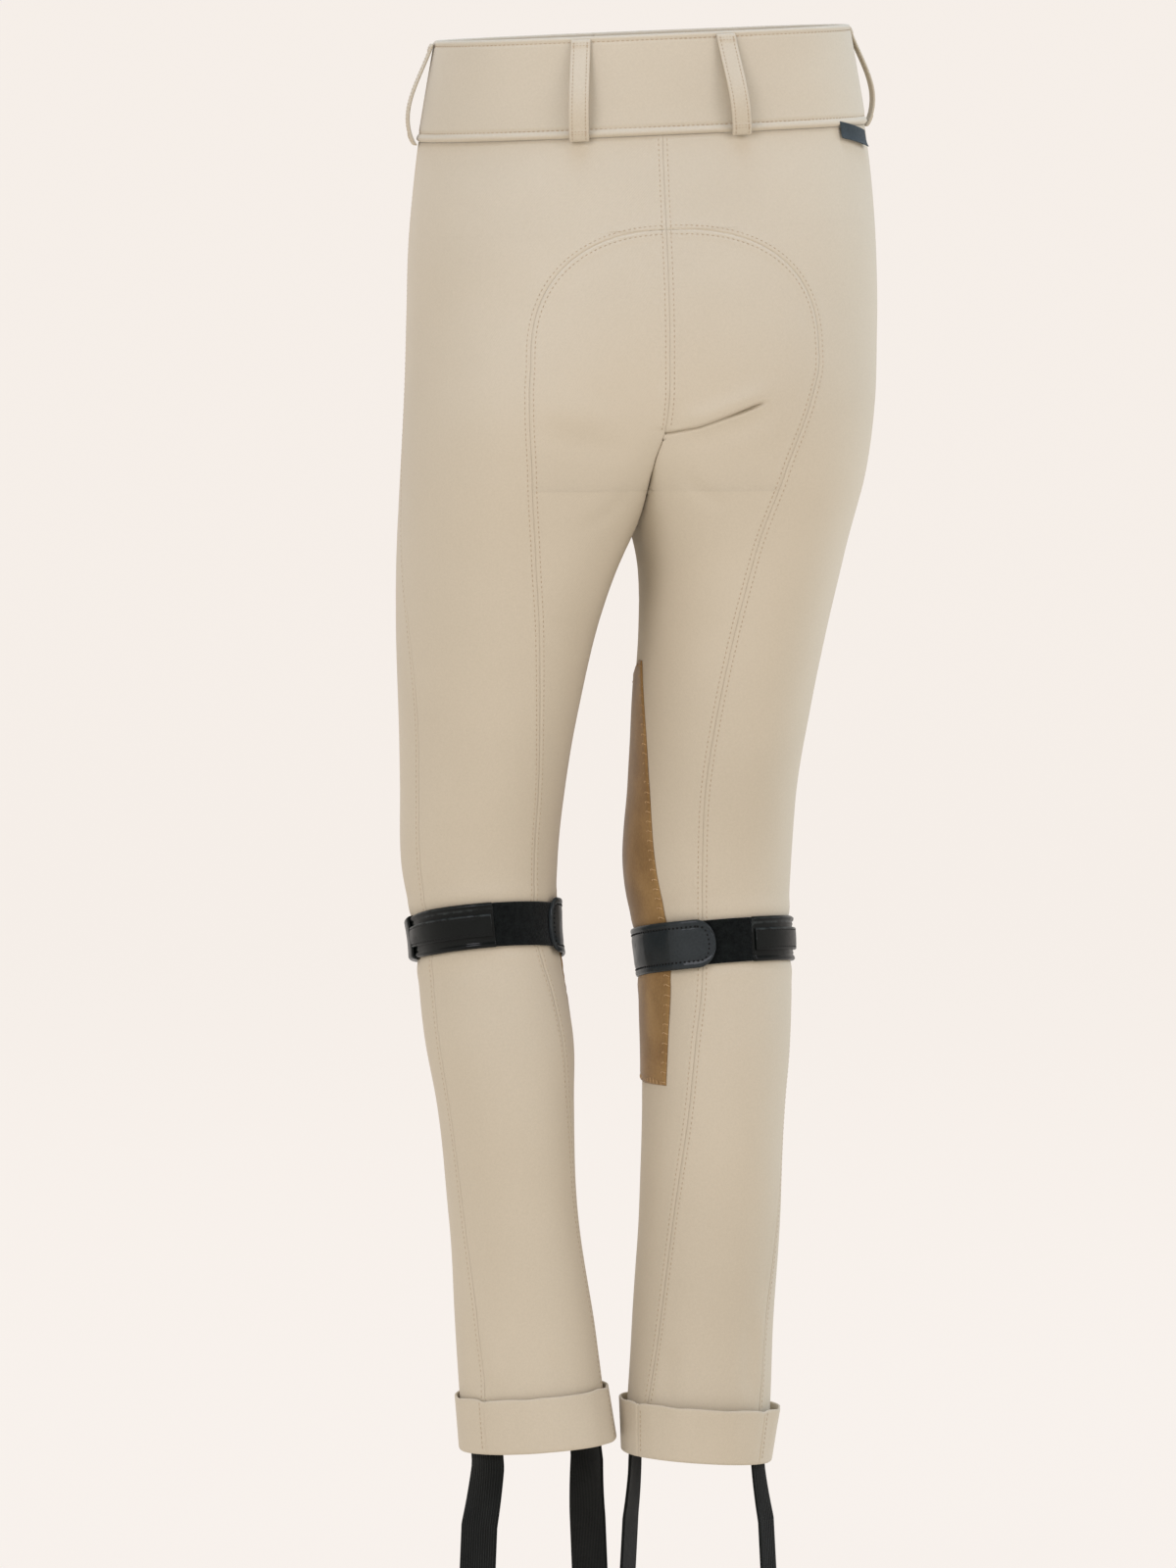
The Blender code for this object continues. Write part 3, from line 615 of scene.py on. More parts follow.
CREASES = [
    # fold under the right seat: its dark line, the soft cloth above and the hollow below
    Crease(RIGHT, BACK, ((3, -192.5), (-3, -192), (-18, -189.5), (-39, -182.5), (-57, -176)), 2.8, 0.75,
           (0.01, 0.12)),
    Crease(RIGHT, BACK, ((-30, -185.5), (-42, -181.5), (-55, -176.8)), 2.0, 0.85, (0.5, 0.4)),
    Crease(RIGHT, BACK, ((-3, -187), (-20, -184), (-42, -176), (-64, -167)), -1.5, 6, (0.3, 0.4)),
    Crease(RIGHT, BACK, ((-3, -197), (-22, -195), (-44, -188), (-66, -178)), 1.4, 6.5, (0.3, 0.4)),
    # the same on the left, where the leg stands straight: much softer
    Crease(LEFT, BACK, ((12, -200), (30, -200), (56, -194), (84, -184)), 1.1, 8, (0.4, 0.5)),
    Crease(LEFT, BACK, ((20, -188), (46, -182), (74, -172)), -0.8, 10, (0.4, 0.5)),
    Crease(RIGHT, BACK, ((0, -160), (2, -178), (3, -191)), -0.7, 4.5, (0.5, 0.12)),
    Crease(LEFT, BACK, ((0, -160), (2, -178), (3, -191)), -0.7, 4.5, (0.5, 0.12)),
    # drag lines that run from the crotch, back and front
    Crease(RIGHT, BACK, ((-8, -214), (-22, -226), (-40, -236)), 1.0, 4.5),
    Crease(LEFT, BACK, ((14, -222), (30, -238), (50, -250)), 1.0, 5),
    Crease(LEFT, FRONT, ((8, -190), (34, -170), (70, -140)), 2.0, 5, (0.15, 0.5)),
    Crease(LEFT, FRONT, ((6, -206), (32, -192), (66, -168)), 1.5, 5, (0.15, 0.5)),
    Crease(LEFT, FRONT, ((10, -176), (40, -150), (74, -116)), -1.1, 7, (0.3, 0.5)),
    Crease(RIGHT, FRONT, ((-8, -188), (-36, -166), (-68, -134)), 1.8, 5, (0.15, 0.5)),
    Crease(RIGHT, FRONT, ((-6, -205), (-34, -190), (-62, -170)), 1.7, 5, (0.15, 0.5)),
    Crease(RIGHT, FRONT, ((-10, -177), (-38, -152), (-70, -120)), -1.0, 7, (0.3, 0.5)),
    Crease(LEFT, FRONT, ((14, -60), (46, -54), (84, -60)), 0.7, 6),
    Crease(RIGHT, FRONT, ((-12, -52), (-50, -50), (-90, -62)), 0.6, 7),
    # front of the knees
    Crease(LEFT, FRONT, ((64, -430), (92, -424), (118, -434)), 0.9, 5),
    Crease(LEFT, FRONT, ((60, -456), (88, -462), (114, -456)), 0.8, 5),
    Crease(RIGHT, FRONT, ((-16, -436), (-44, -430), (-70, -438)), 0.8, 5),
    Crease(RIGHT, FRONT, ((-14, -460), (-40, -466), (-66, -459)), 0.9, 5),
    # lower legs, where the cloth falls straight to the cuff
    Crease(LEFT, BACK, ((102, -694), (97, -715), (93, -735)), 1.1, 4, (0.4, 0.3)),
    Crease(LEFT, BACK, ((96, -684), (90, -708), (86, -732)), -0.7, 5, (0.4, 0.3)),
    Crease(LEFT, BACK, ((58, -702), (52, -722), (50, -738)), 0.8, 5, (0.4, 0.3)),
    Crease(RIGHT, BACK, ((-64, -676), (-63, -706), (-62, -738)), -0.9, 4.5, (0.4, 0.25)),
    Crease(RIGHT, BACK, ((-56, -680), (-55, -708), (-54, -738)), 0.9, 4.5, (0.4, 0.25)),
    Crease(RIGHT, BACK, ((-14, -704), (-10, -722), (-9, -742)), 1.0, 4.5, (0.4, 0.3)),
    Crease(LEFT, FRONT, ((70, -640), (66, -680), (64, -722)), 0.9, 6),
    Crease(RIGHT, FRONT, ((-40, -640), (-38, -684), (-36, -728)), 0.9, 6),
]


@dataclass(frozen=True)
class Garter:
    """Where a garter lies: its middle line's level and climb, its parts' angles and its tab's half width.

    draw is how far it draws the leg in on its inner side, and pinch how much its keeper narrows it.
    """

    level: float
    climb_back: float
    climb_out: float
    tab_end: float
    pile_end: float
    band_end: float
    keeper: float
    tab_half: float
    draw: float
    half: float = 12.5
    clear: float = 0.6
    over_patch: float = 1.0
    pinch: float = 0.16

    def height(self, angle: float, offset: float = 0.0) -> float:
        """Height of a line on the garter."""
        turn = radians(angle)
        narrowed = 1 - self.pinch * bell(angle - self.keeper, 28)
        return (self.level + self.climb_back * cos(turn) + self.climb_out * sin(turn)
                + offset * narrowed)

    def drawn(self, angle: float, height: float) -> float:
        """How far the leg is drawn in at a place, most on the inner side a little above the middle line."""
        turn = (angle + 180) % 360 - 180
        return self.draw * bell(turn + 85, 65) * bell(height - self.height(angle) - 4, 22)

    def clearance(self, side: Side, angle: float) -> float:
        """How far its inner face is from the form, with the knee patch under it on the inner side."""
        turn = (angle % 360) - 360
        back, front = (along(LEGS[side], edge, self.level) for edge in ("patch_back", "patch_front"))
        past = max(turn - back, front - turn)
        over_patch = self.over_patch * (1 - clamp(past, 3, 16))
        return self.clear + over_patch - self.drawn(angle, self.height(angle))

    def grip(self, angle: float, height: float) -> float:
        """Relief of the cloth that the garter squeezes: drawn in under it, soft just above and below it."""
        away = abs(height - self.height(angle))
        squeezed = -0.5 * (1 - ease(away, 9, 14)) + 0.55 * bell(away - self.half - 5, 4.5)
        return squeezed - self.drawn(angle, height)


GARTERS = {LEFT: Garter(-476.5, 9, -2.5, -47, 0, 208, 100, 15.3, 0.0),
           RIGHT: Garter(-484.5, 6.5, 3.2, -5, 21.5, 214, 128, 13.4, 3.0)}


@dataclass(eq=False)
class ClothRelief:
    """Relief of the panels' cloth: seams, creases, the garters' grip and the cloth's slight unevenness."""

    ripple: float = 0.35
    ripple_size: float = 46.0
    join_top: float = -155.0
    join_reach: float = 12.0

    def joined(self, side: Side, place: Vector, height: float) -> float:
        """How far the cloth moves out so that both sides meet level at the centre back above the crotch."""
        fade = clamp(height, FORM.crotch_high - 12, FORM.crotch_high)
        if place.y < 0 or height > self.join_top or fade == 0:
            return 0.0
        height = max(height, FORM.crotch_high)
        left, right = (FORM.point(each, FORM.centre(BACK, each, height), height) for each in Side)
        step = (left.y - right.y) / 2
        return -side.value * fade * step * bell(place.x - left.x, self.join_reach)

    def at(self, side: Side, spot: Spot, angle: float, height: float) -> float:
        """How far the cloth stands out of the form at a spot of one side.

        Args:
            side: the wearer's side.
            spot: the place on the form.
            angle: its angle in degrees.
            height: its height.

        Returns:
            Relief in millimetres.
        """
        place = spot.point
        total = sum(seam.relief(place) for seam in PLAN.seams[side])
        total += sum(crease.relief(place) for crease in CREASES if crease.side is side)
        total += GARTERS[side].grip(angle, height) + self.joined(side, place, height)
        return total + self.ripple * noise.noise(place / self.ripple_size)


RELIEF = ClothRelief()


# ------------------------------------------------------------------ making meshes

BMesh = bmesh.types.BMesh
Material = bpy.types.Material
Corner = Callable[[int, int], Vector]
Relief = Callable[[float], float]
Outline = Sequence[tuple[float, float]]
Rows = Sequence[tuple[float, float, float]]
Place = Callable[[float, float, float], Vector]
MERGE = 0.02 * MM
SLIVER = 0.005 * MM
END_FACES = 3


def cloth_grid(columns: int, rows: int, place: Corner, chart: Callable[[int, int], tuple],
               flip: bool = False) -> BMesh:
    """Surface from a grid, with a UV map in metres for the pattern of its cloth.

    Args:
        columns: number of columns of faces.
        rows: number of rows of faces.
        place: the point in millimetres of a column and row; row 0 is the top.
        chart: the pattern's place of a column and row, in millimetres.
        flip: whether the faces are turned over.

    Returns:
        The surface, in metres.
    """
    work = bmesh.new()
    bmesh.ops.create_grid(work, x_segments=columns, y_segments=rows, size=0.5)
    cells = {vertex: (round((vertex.co.x + 0.5) * columns), round((0.5 - vertex.co.y) * rows))
             for vertex in work.verts}
    layer = work.loops.layers.uv.new("cloth")
    for face in work.faces:
        for loop in face.loops:
            loop[layer].uv = Vector(chart(*cells[loop.vert])) * MM
    for vertex, cell in cells.items():
        vertex.co = place(*cell) * MM
    bmesh.ops.remove_doubles(work, verts=work.verts, dist=MERGE)
    bmesh.ops.dissolve_degenerate(work, dist=SLIVER, edges=work.edges)
    if flip:
        bmesh.ops.reverse_faces(work, faces=work.faces)
    return work


def quarter_turns(count: int) -> list[float]:
    """Angles of a quarter turn's ends and the even steps between them."""
    return [pi / 2 * k / count for k in range(count + 1)]


def strip_section(half: float, wall: float, face: Relief | None = None, step: float = 0.9,
                  turns: int = 4) -> Outline:
    """Closed outline of a strip's section: outer face downwards, lower edge, inner face, upper edge.

    Args:
        half: half the strip's width.
        wall: its thickness.
        face: how far the outer face stands out at a place across the strip.
        step: spacing of the points across the strip.
        turns: number of faces round each rounded edge.

    Returns:
        Points as (across, out), the inner face at 0.
    """
    radius = wall / 2
    reach = half - radius
    across = spread(reach, -reach, step)
    bends = [pi * k / turns for k in range(1, turns)]
    outline = [(s, wall + (face(s) if face else 0.0)) for s in across]
    outline += [(-reach - radius * sin(bend), radius + radius * cos(bend)) for bend in bends]
    outline += [(s, 0.0) for s in reversed(across)]
    outline += [(reach + radius * sin(bend), radius - radius * cos(bend)) for bend in bends]
    return outline


def sweep(outline: Outline, stations: Sequence[float], place: Place, length: float, wall: float) -> BMesh:
    """Closed strip from a section's outline along stations, with its two ends rounded shut.

    Args:
        outline: closed outline as (across, out).
        stations: places along the strip, from 0 to 1.
        place: the point in millimetres of a station, a place across and a distance out.
        length: the strip's length, for the rounding of its ends and its pattern.
        wall: the strip's thickness.

    Returns:
        The strip, in metres.
    """
    middle = wall / 2
    start = middle / length
    ends = [(start * (1 - cos(turn)), sin(turn)) for turn in quarter_turns(END_FACES)[:-1]]
    rims = ends + [(station, 1.0) for station in stations if start <= station <= 1 - start]
    rims += [(1 - share, scale) for share, scale in reversed(ends)]
    around = len(outline)
    half = max(abs(s) for s, _ in outline)

    def corner(column: int, row: int) -> Vector:
        """Corner of the grid."""
        s, out = outline[column % around]
        share, scale = rims[row]
        return place(share, s * (1 - middle * (1 - scale) / half), middle + (out - middle) * scale)

    def chart(column: int, row: int) -> tuple[float, float]:
        """Pattern place: along the strip and across it."""
        return rims[row][0] * length, outline[column % around][0]

    return cloth_grid(around, len(rims) - 1, corner, chart)


def turned(profile: Outline, steps: int) -> BMesh:
    """Shape turned on the Z axis from a profile as (radius, height), with its faces out."""
    work = bmesh.new()
    points = [work.verts.new((x, 0, z)) for x, z in profile]
    edges = [work.edges.new(pair) for pair in zip(points, points[1:])]
    bmesh.ops.spin(work, geom=points + edges, cent=(0, 0, 0), axis=(0, 0, 1), angle=tau, steps=steps,
                   use_merge=True)
    bmesh.ops.remove_doubles(work, verts=work.verts, dist=MERGE)
    bmesh.ops.recalc_face_normals(work, faces=work.faces)
    return work


@dataclass(frozen=True)
class Cut:
    """Flat cut of a sheet in millimetres, and how it is held."""

    width: float
    length: float
    held: Held
    rests_on: tuple[str, ...]
    area: float | None = None


@dataclass(eq=False)
class Workshop:
    """Turns finished meshes into pieces that ride on the garment's body."""

    made: list[str] = field(default_factory=list)

    @staticmethod
    def show(name: str, work: BMesh, material: Material) -> bpy.types.Object:
        """Object of a mesh, which is freed, with its material."""
        mesh = bpy.data.meshes.new(name)
        work.to_mesh(mesh)
        work.free()
        mesh.shade_smooth()
        mesh.materials.append(material)
        shown = bpy.data.objects.new(name, mesh)
        bpy.context.scene.collection.objects.link(shown)
        return shown

    def add(self, name: str, work: BMesh, material: Material, slot: str, stands_for: str | None = None,
            wall: float | None = None, cut: Cut | None = None) -> None:
        """Make a piece of a mesh.

        Args:
            name: the piece's name.
            work: its mesh in metres, which is freed.
            material: its material.
            slot: name of the record's slot for its finish; not used.
            stands_for: the construction's node that it replaces.
            wall: thickness in millimetres that an open surface gets inwards.
            cut: its flat cut, if it is a sheet.
        """
        if wall is None and work.calc_volume(signed=True) < 0:
            bmesh.ops.reverse_faces(work, faces=work.faces)
        piece = self.show(name, work, material)
        if wall is not None:
            shell = piece.modifiers.new("wall", "SOLIDIFY")
            shell.thickness = wall * MM
            shell.offset = -1
            shell.use_even_offset = False
        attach(piece, "root")
        if stands_for:
            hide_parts(stands_for)
        if cut is not None:
            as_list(cut.rests_on)
        self.made.append(name)
        LOG.info("%s: %d faces", name, len(piece.data.polygons))

    def cloth(self, node: str, work: BMesh, cut: Cut, wall: float | None = None) -> None:
        """Make the cloth piece that replaces a node of the construction."""
        self.add(f"{node}_cloth", work, FINISHES.cloth, "cloth", node, wall, cut)


@dataclass(eq=False)
class Thread:
    """Stitches of one thread: small rounded bars, joined in one piece."""

    name: str
    width: float = 0.55
    rise: float = 0.42
    shortest: float = 0.05
    places: list[Matrix] = field(default_factory=list)

    def bar(self, start: Vector, end: Vector, outward: Vector) -> None:
        """One stitch from a point to another, half sunk in the cloth."""
        ahead = end - start
        length = ahead.length
        if length < self.shortest:
            return
        ahead.normalize()
        aside = outward.cross(ahead).normalized()
        up = ahead.cross(aside)
        turn = Matrix((ahead * length, aside * self.width, up * self.rise)).transposed().to_4x4()
        self.places.append(Matrix.Translation((start + end) / 2) @ turn)

    def sew(self, spots: Sequence[Spot], pitch: float, stitch: float, out: float = 0.0) -> None:
        """A row of stitches along spots.

        Args:
            spots: the row's path.
            pitch: distance from a stitch to the next.
            stitch: length of a stitch.
            out: how far out of the path the stitches are.
        """
        travelled, due = 0.0, pitch / 2
        for first, second in zip(spots, spots[1:]):
            run = second.point - first.point
            length = run.length
            while length > 0 and due <= travelled + length:
                share = (due - travelled) / length
                outward = first.outward.lerp(second.outward, share).normalized()
                middle = first.point + run * share + outward * out
                half = run / length * stitch / 2
                self.bar(middle - half, middle + half, outward)
                due += pitch
            travelled += length

    def finish(self, material: Material, slot: str = "cloth") -> None:
        """Join all stitches in one piece."""
        pattern = bmesh.new()
        bmesh.ops.create_uvsphere(pattern, u_segments=6, v_segments=4, radius=0.5)
        bmesh.ops.transform(pattern, matrix=Matrix.Rotation(pi / 2, 4, "Y"), verts=pattern.verts)
        pattern.verts.index_update()
        corners = np.array([vertex.co[:] + (1.0,) for vertex in pattern.verts])
        faces = [[vertex.index for vertex in face.verts] for face in pattern.faces]
        pattern.free()
        points = np.concatenate([corners @ np.array(place).T for place in self.places])[:, :3] * MM
        starts = range(0, len(points), len(corners))
        joined = [[start + index for index in face] for start in starts for face in faces]
        mesh = bpy.data.meshes.new(self.name)
        mesh.from_pydata(points.tolist(), [], joined)
        work = bmesh.new()
        work.from_mesh(mesh)
        bpy.data.meshes.remove(mesh)
        WORKSHOP.add(self.name, work, material, slot)


WORKSHOP = Workshop()


# ------------------------------------------------------------------ finishes

Colour = tuple[float, float, float]
Socket = bpy.types.NodeSocket
Value = Socket | float | tuple
FLOAT, VECTOR, COLOUR = "NodeSocketFloat", "NodeSocketVector", "NodeSocketColor"


def linear(red: int, green: int, blue: int) -> Colour:
    """Linear colour of a display colour in 255ths."""
    shares = (value / 255 for value in (red, green, blue))
    return tuple(share / 12.92 if share <= 0.04045 else ((share + 0.055) / 1.055) ** 2.4 for share in shares)


@dataclass(eq=False)
class Nodes:
    """Short ways to add nodes to a tree; what goes into a node is a socket or a value."""

    tree: bpy.types.NodeTree

    def feed(self, node: bpy.types.Node, inputs: dict[int | str, Value]) -> None:
        """Join a node's inputs to sockets, or set them to values."""
        for name, value in inputs.items():
            if isinstance(value, Socket):
                self.tree.links.new(value, node.inputs[name])
            else:
                node.inputs[name].default_value = value

    def add(self, kind: str, inputs: dict[int | str, Value], output: int | str = 0, **settings) -> Socket:
        """Add a node.

        Args:
            kind: the node's type, without the ShaderNode at its start.
            inputs: what goes into each input, by its name or number.
            output: name or number of the output that is used.
            settings: values of the node's own settings.

        Returns:
            That output.
        """
        made = self.tree.nodes.new(f"ShaderNode{kind}")
        for name, value in settings.items():
            setattr(made, name, value)
        self.feed(made, inputs)
        return made.outputs[output]

    def effect(self, shared: bpy.types.NodeTree, inputs: dict[str, Value]) -> dict[str, Socket]:
        """Place a shared effect; its outputs by name."""
        made = self.tree.nodes.new("ShaderNodeGroup")
        made.node_tree = shared
        self.feed(made, inputs)
        return dict(made.outputs.items())

    def math(self, operation: str, *inputs: Value) -> Socket:
        """Sum of one kind."""
        return self.add("Math", dict(enumerate(inputs)), operation=operation)

    def noise(self, vector: Socket, scale: Value, detail: float = 2.0) -> Socket:
        """Cloudy noise."""
        return self.add("TexNoise", {"Vector": vector, "Scale": scale, "Detail": detail})

    def ranged(self, value: Socket, low: float, high: float, start: float = 0.0, end: float = 1.0) -> Socket:
        """Value that goes from start to end as another goes from low to high."""
        return self.add("MapRange", {0: value, 1: low, 2: high, 3: start, 4: end})

    def blend(self, share: Value, first: Value, second: Value, way: str = "MIX") -> Socket:
        """Two colours mixed in one of the node's ways."""
        return self.add("Mix", {0: share, 6: first, 7: second}, 2, data_type="RGBA", blend_type=way)

    def bump(self, height: Socket, distance: float, strength: float, **under: Socket) -> Socket:
        """Normal of a height, its distance in millimetres, over another bump's Normal if one is given."""
        return self.add("Bump", {"Height": height, "Distance": distance * MM, "Strength": strength, **under})


def group(name: str, inputs: dict[str, tuple], outputs: dict[str, str],
          wire: Callable[[Nodes, dict[str, Socket]], tuple[Socket, ...]]) -> bpy.types.NodeTree:
    """Shader node group.

    Args:
        name: the group's name.
        inputs: socket kind and default value of each input; a Vector input comes before them.
        outputs: socket kind of each output.
        wire: adds the group's nodes to its input sockets, and returns what each output puts out.

    Returns:
        The group.
    """
    tree = bpy.data.node_groups.new(name, "ShaderNodeTree")
    for label, (kind, *default) in {"Vector": (VECTOR,), **inputs}.items():
        socket = tree.interface.new_socket(label, in_out="INPUT", socket_type=kind)
        if default:
            socket.default_value = default[0]
    for label, kind in outputs.items():
        tree.interface.new_socket(label, in_out="OUTPUT", socket_type=kind)
    nodes = Nodes(tree)
    made = wire(nodes, dict(tree.nodes.new("NodeGroupInput").outputs.items()))
    nodes.feed(tree.nodes.new("NodeGroupOutput"), dict(zip(outputs, made)))
    return tree


@dataclass(eq=False)
class Effects:
    """Shader node groups that several finishes share."""

    def __post_init__(self) -> None:
        """Build every group once."""
        self.ribs = group("ribs", {"Direction": (VECTOR, (1, 0, 0)), "Pitch": (FLOAT, 0.001),
                                   "Waver": (FLOAT, 0.0)}, {"Height": FLOAT}, self.wire_ribs)
        self.tone = group("tone", {"Broad": (FLOAT, 8.0), "Fine": (FLOAT, 400.0), "Deep": (COLOUR,),
                                   "Pale": (COLOUR,)}, {"Color": COLOUR}, self.wire_tone)
        self.nap = group("nap", {"Scale": (FLOAT, 900.0), "Patches": (FLOAT, 60.0)},
                         {"Height": FLOAT, "Lay": FLOAT}, self.wire_nap)
        self.grain = group("grain", {"Scale": (FLOAT, 900.0), "Wrinkles": (FLOAT, 90.0)},
                           {"Height": FLOAT, "Creased": FLOAT}, self.wire_grain)
        self.rub = group("rub", {"Exposed": (FLOAT, 0.0), "Scale": (FLOAT, 250.0)}, {"Mask": FLOAT},
                         self.wire_rub)

    @staticmethod
    def wire_ribs(nodes: Nodes, given: dict[str, Socket]) -> tuple[Socket, ...]:
        """Even ribs across a direction: twill, rib weave and knitted rows."""
        across = nodes.add("VectorMath", {0: given["Vector"], 1: given["Direction"]}, "Value",
                           operation="DOT_PRODUCT")
        drift = nodes.noise(given["Vector"], 300.0, 1.0)
        wavered = nodes.math("MULTIPLY_ADD", drift, given["Waver"], across)
        turns = nodes.math("MULTIPLY", nodes.math("DIVIDE", wavered, given["Pitch"]), tau)
        return (nodes.math("MULTIPLY_ADD", nodes.math("SINE", turns), 0.5, 0.5),)

    @staticmethod
    def wire_tone(nodes: Nodes, given: dict[str, Socket]) -> tuple[Socket, ...]:
        """Soft change between two tones, broad and fine together."""
        broad = nodes.noise(given["Vector"], given["Broad"], 3.0)
        fine = nodes.noise(given["Vector"], given["Fine"])
        both = nodes.add("Mix", {0: 0.4, 2: broad, 3: fine})
        return (nodes.blend(nodes.ranged(both, 0.36, 0.64), given["Deep"], given["Pale"]),)

    @staticmethod
    def wire_nap(nodes: Nodes, given: dict[str, Socket]) -> tuple[Socket, ...]:
        """Short fibres brushed along a direction, and the patches in which they lie another way."""
        drawn = nodes.add("Mapping", {"Vector": given["Vector"], "Scale": (1.0, 1.0, 0.35)})
        lay = nodes.noise(given["Vector"], given["Patches"], 3.0)
        return nodes.noise(drawn, given["Scale"], 4.0), nodes.ranged(lay, 0.4, 0.62)

    @staticmethod
    def wire_grain(nodes: Nodes, given: dict[str, Socket]) -> tuple[Socket, ...]:
        """Leather grain: small rounded cells with creases between, and long bending wrinkles."""
        bent = nodes.add("TexNoise", {"Vector": given["Vector"], "Scale": 500.0}, "Color")
        moved = nodes.add("VectorMath", {0: bent, 1: (0.0006, 0.0006, 0.0006), 2: given["Vector"]},
                          operation="MULTIPLY_ADD")
        cells = nodes.add("TexVoronoi", {"Vector": moved, "Scale": given["Scale"]}, "Distance",
                          feature="SMOOTH_F1")
        creased = nodes.ranged(nodes.noise(given["Vector"], given["Wrinkles"], 3.0), 0.35, 0.6)
        return nodes.math("MULTIPLY_ADD", cells, -0.6, creased), creased

    @staticmethod
    def wire_rub(nodes: Nodes, given: dict[str, Socket]) -> tuple[Socket, ...]:
        """Rubbed edges: a mask from how exposed a place is, broken up by noise."""
        broken = nodes.noise(given["Vector"], given["Scale"], 3.0)
        return (nodes.ranged(nodes.math("MULTIPLY", given["Exposed"], broken), 0.3, 0.6),)


EFFECTS = Effects()


@dataclass(frozen=True)
class Finish:
    """What every finish has: a name, two tones, the scales of their change and the shader's plain values."""

    name: str
    deep: Colour
    pale: Colour
    roughness: float
    broad: float = 90.0
    fine: float = 900.0
    specular: float = 0.5
    sheen: float = 0.0

    def surface(self, nodes: Nodes, at: Socket, weave: Socket) -> dict[str, Value]:
        """What goes into the shader, by its inputs' names.

        Args:
            nodes: the material's nodes.
            at: the place on the object.
            weave: the place in the piece's own pattern.

        Returns:
            Sockets and values.
        """
        return {"Base Color": self.tone(nodes, at)}

    def build(self) -> Material:
        """Make the material."""
        material = bpy.data.materials.new(self.name)
        material.use_nodes = True
        tree = material.node_tree
        place = tree.nodes.new("ShaderNodeTexCoord").outputs
        inputs = {"Roughness": self.roughness, "Specular IOR Level": self.specular,
                  "Sheen Weight": self.sheen, **self.surface(Nodes(tree), place["Object"], place["UV"])}
        Nodes(tree).feed(tree.nodes["Principled BSDF"], inputs)
        return material

    def tone(self, nodes: Nodes, at: Socket) -> Socket:
        """The finish's two tones, softly mixed."""
        return nodes.effect(EFFECTS.tone, {"Vector": at, "Broad": self.broad, "Fine": self.fine,
                                           "Deep": (*self.deep, 1), "Pale": (*self.pale, 1)})["Color"]

    def shaded(self, nodes: Nodes, at: Socket, share: Socket, dark: Colour, light: Colour) -> Socket:
        """The tones, darkened and lightened by a share: painted shade and light where the share is a weave's
        height, the nap's patches on suede.
        """
        shade = nodes.blend(share, (*dark, 1), (*light, 1))
        return nodes.blend(1.0, self.tone(nodes, at), shade, "MULTIPLY")

    @staticmethod
    def ribs(nodes: Nodes, vector: Socket, pitch: float, direction: Colour, waver: float = 0.0) -> Socket:
        """Ribs a pitch apart, in millimetres, across a direction."""
        return nodes.effect(EFFECTS.ribs, {"Vector": vector, "Pitch": pitch * MM, "Direction": direction,
                                           "Waver": waver})["Height"]

    @staticmethod
    def nap(nodes: Nodes, at: Socket, scale: float, patches: float) -> tuple[Socket, Socket]:
        """Height of short fibres, and how they lie."""
        brushed = nodes.effect(EFFECTS.nap, {"Vector": at, "Scale": scale, "Patches": patches})
        return brushed["Height"], brushed["Lay"]


@dataclass(frozen=True)
class StretchCloth(Finish):
    """Matte stretch twill: fine slanted ribs, a dry hand and pale rims where it turns away."""

    broad: float = 7.0
    specular: float = 0.15
    sheen: float = 0.12
    rib: float = 0.62
    slant: float = 62.0
    depth: float = 0.06

    def surface(self, nodes: Nodes, at: Socket, weave: Socket) -> dict[str, Value]:
        """Twill crossed by finer yarns, under a light fuzz, with painted shade in the twill's hollows."""
        cosine, sine = cos(radians(self.slant)), sin(radians(self.slant))
        twill = self.ribs(nodes, weave, self.rib, (cosine, sine, 0), 0.0002)
        yarns = self.ribs(nodes, weave, self.rib * 0.8, (sine, -cosine, 0), 0.0003)
        fuzz, lay = self.nap(nodes, at, 1400.0, 30.0)
        woven = nodes.bump(nodes.math("MULTIPLY_ADD", yarns, 0.35, twill), self.depth, 0.5)
        # painted shade in the twill's hollows and painted light on its ribs
        return {"Base Color": self.shaded(nodes, at, twill, (0.93, 0.92, 0.9), (1, 1, 1)),
                "Roughness": nodes.ranged(lay, 0, 1, self.roughness - 0.05, self.roughness + 0.05),
                "Normal": nodes.bump(fuzz, self.depth, 0.4, Normal=woven),
                "Sheen Roughness": 0.5}


@dataclass(frozen=True)
class Suede(Finish):
    """Brown suede: a short brushed nap that lies in lighter and darker patches."""

    broad: float = 24.0
    fine: float = 700.0
    specular: float = 0.1
    sheen: float = 0.25

    def surface(self, nodes: Nodes, at: Socket, weave: Socket) -> dict[str, Value]:
        """Nap that darkens where it lies down."""
        fibres, lay = self.nap(nodes, at, 1100.0, 55.0)
        return {"Base Color": self.shaded(nodes, at, lay, (0.86, 0.84, 0.82), (1.06, 1.06, 1.06)),
                "Normal": nodes.bump(fibres, 0.14, 0.7),
                "Sheen Roughness": 0.45}


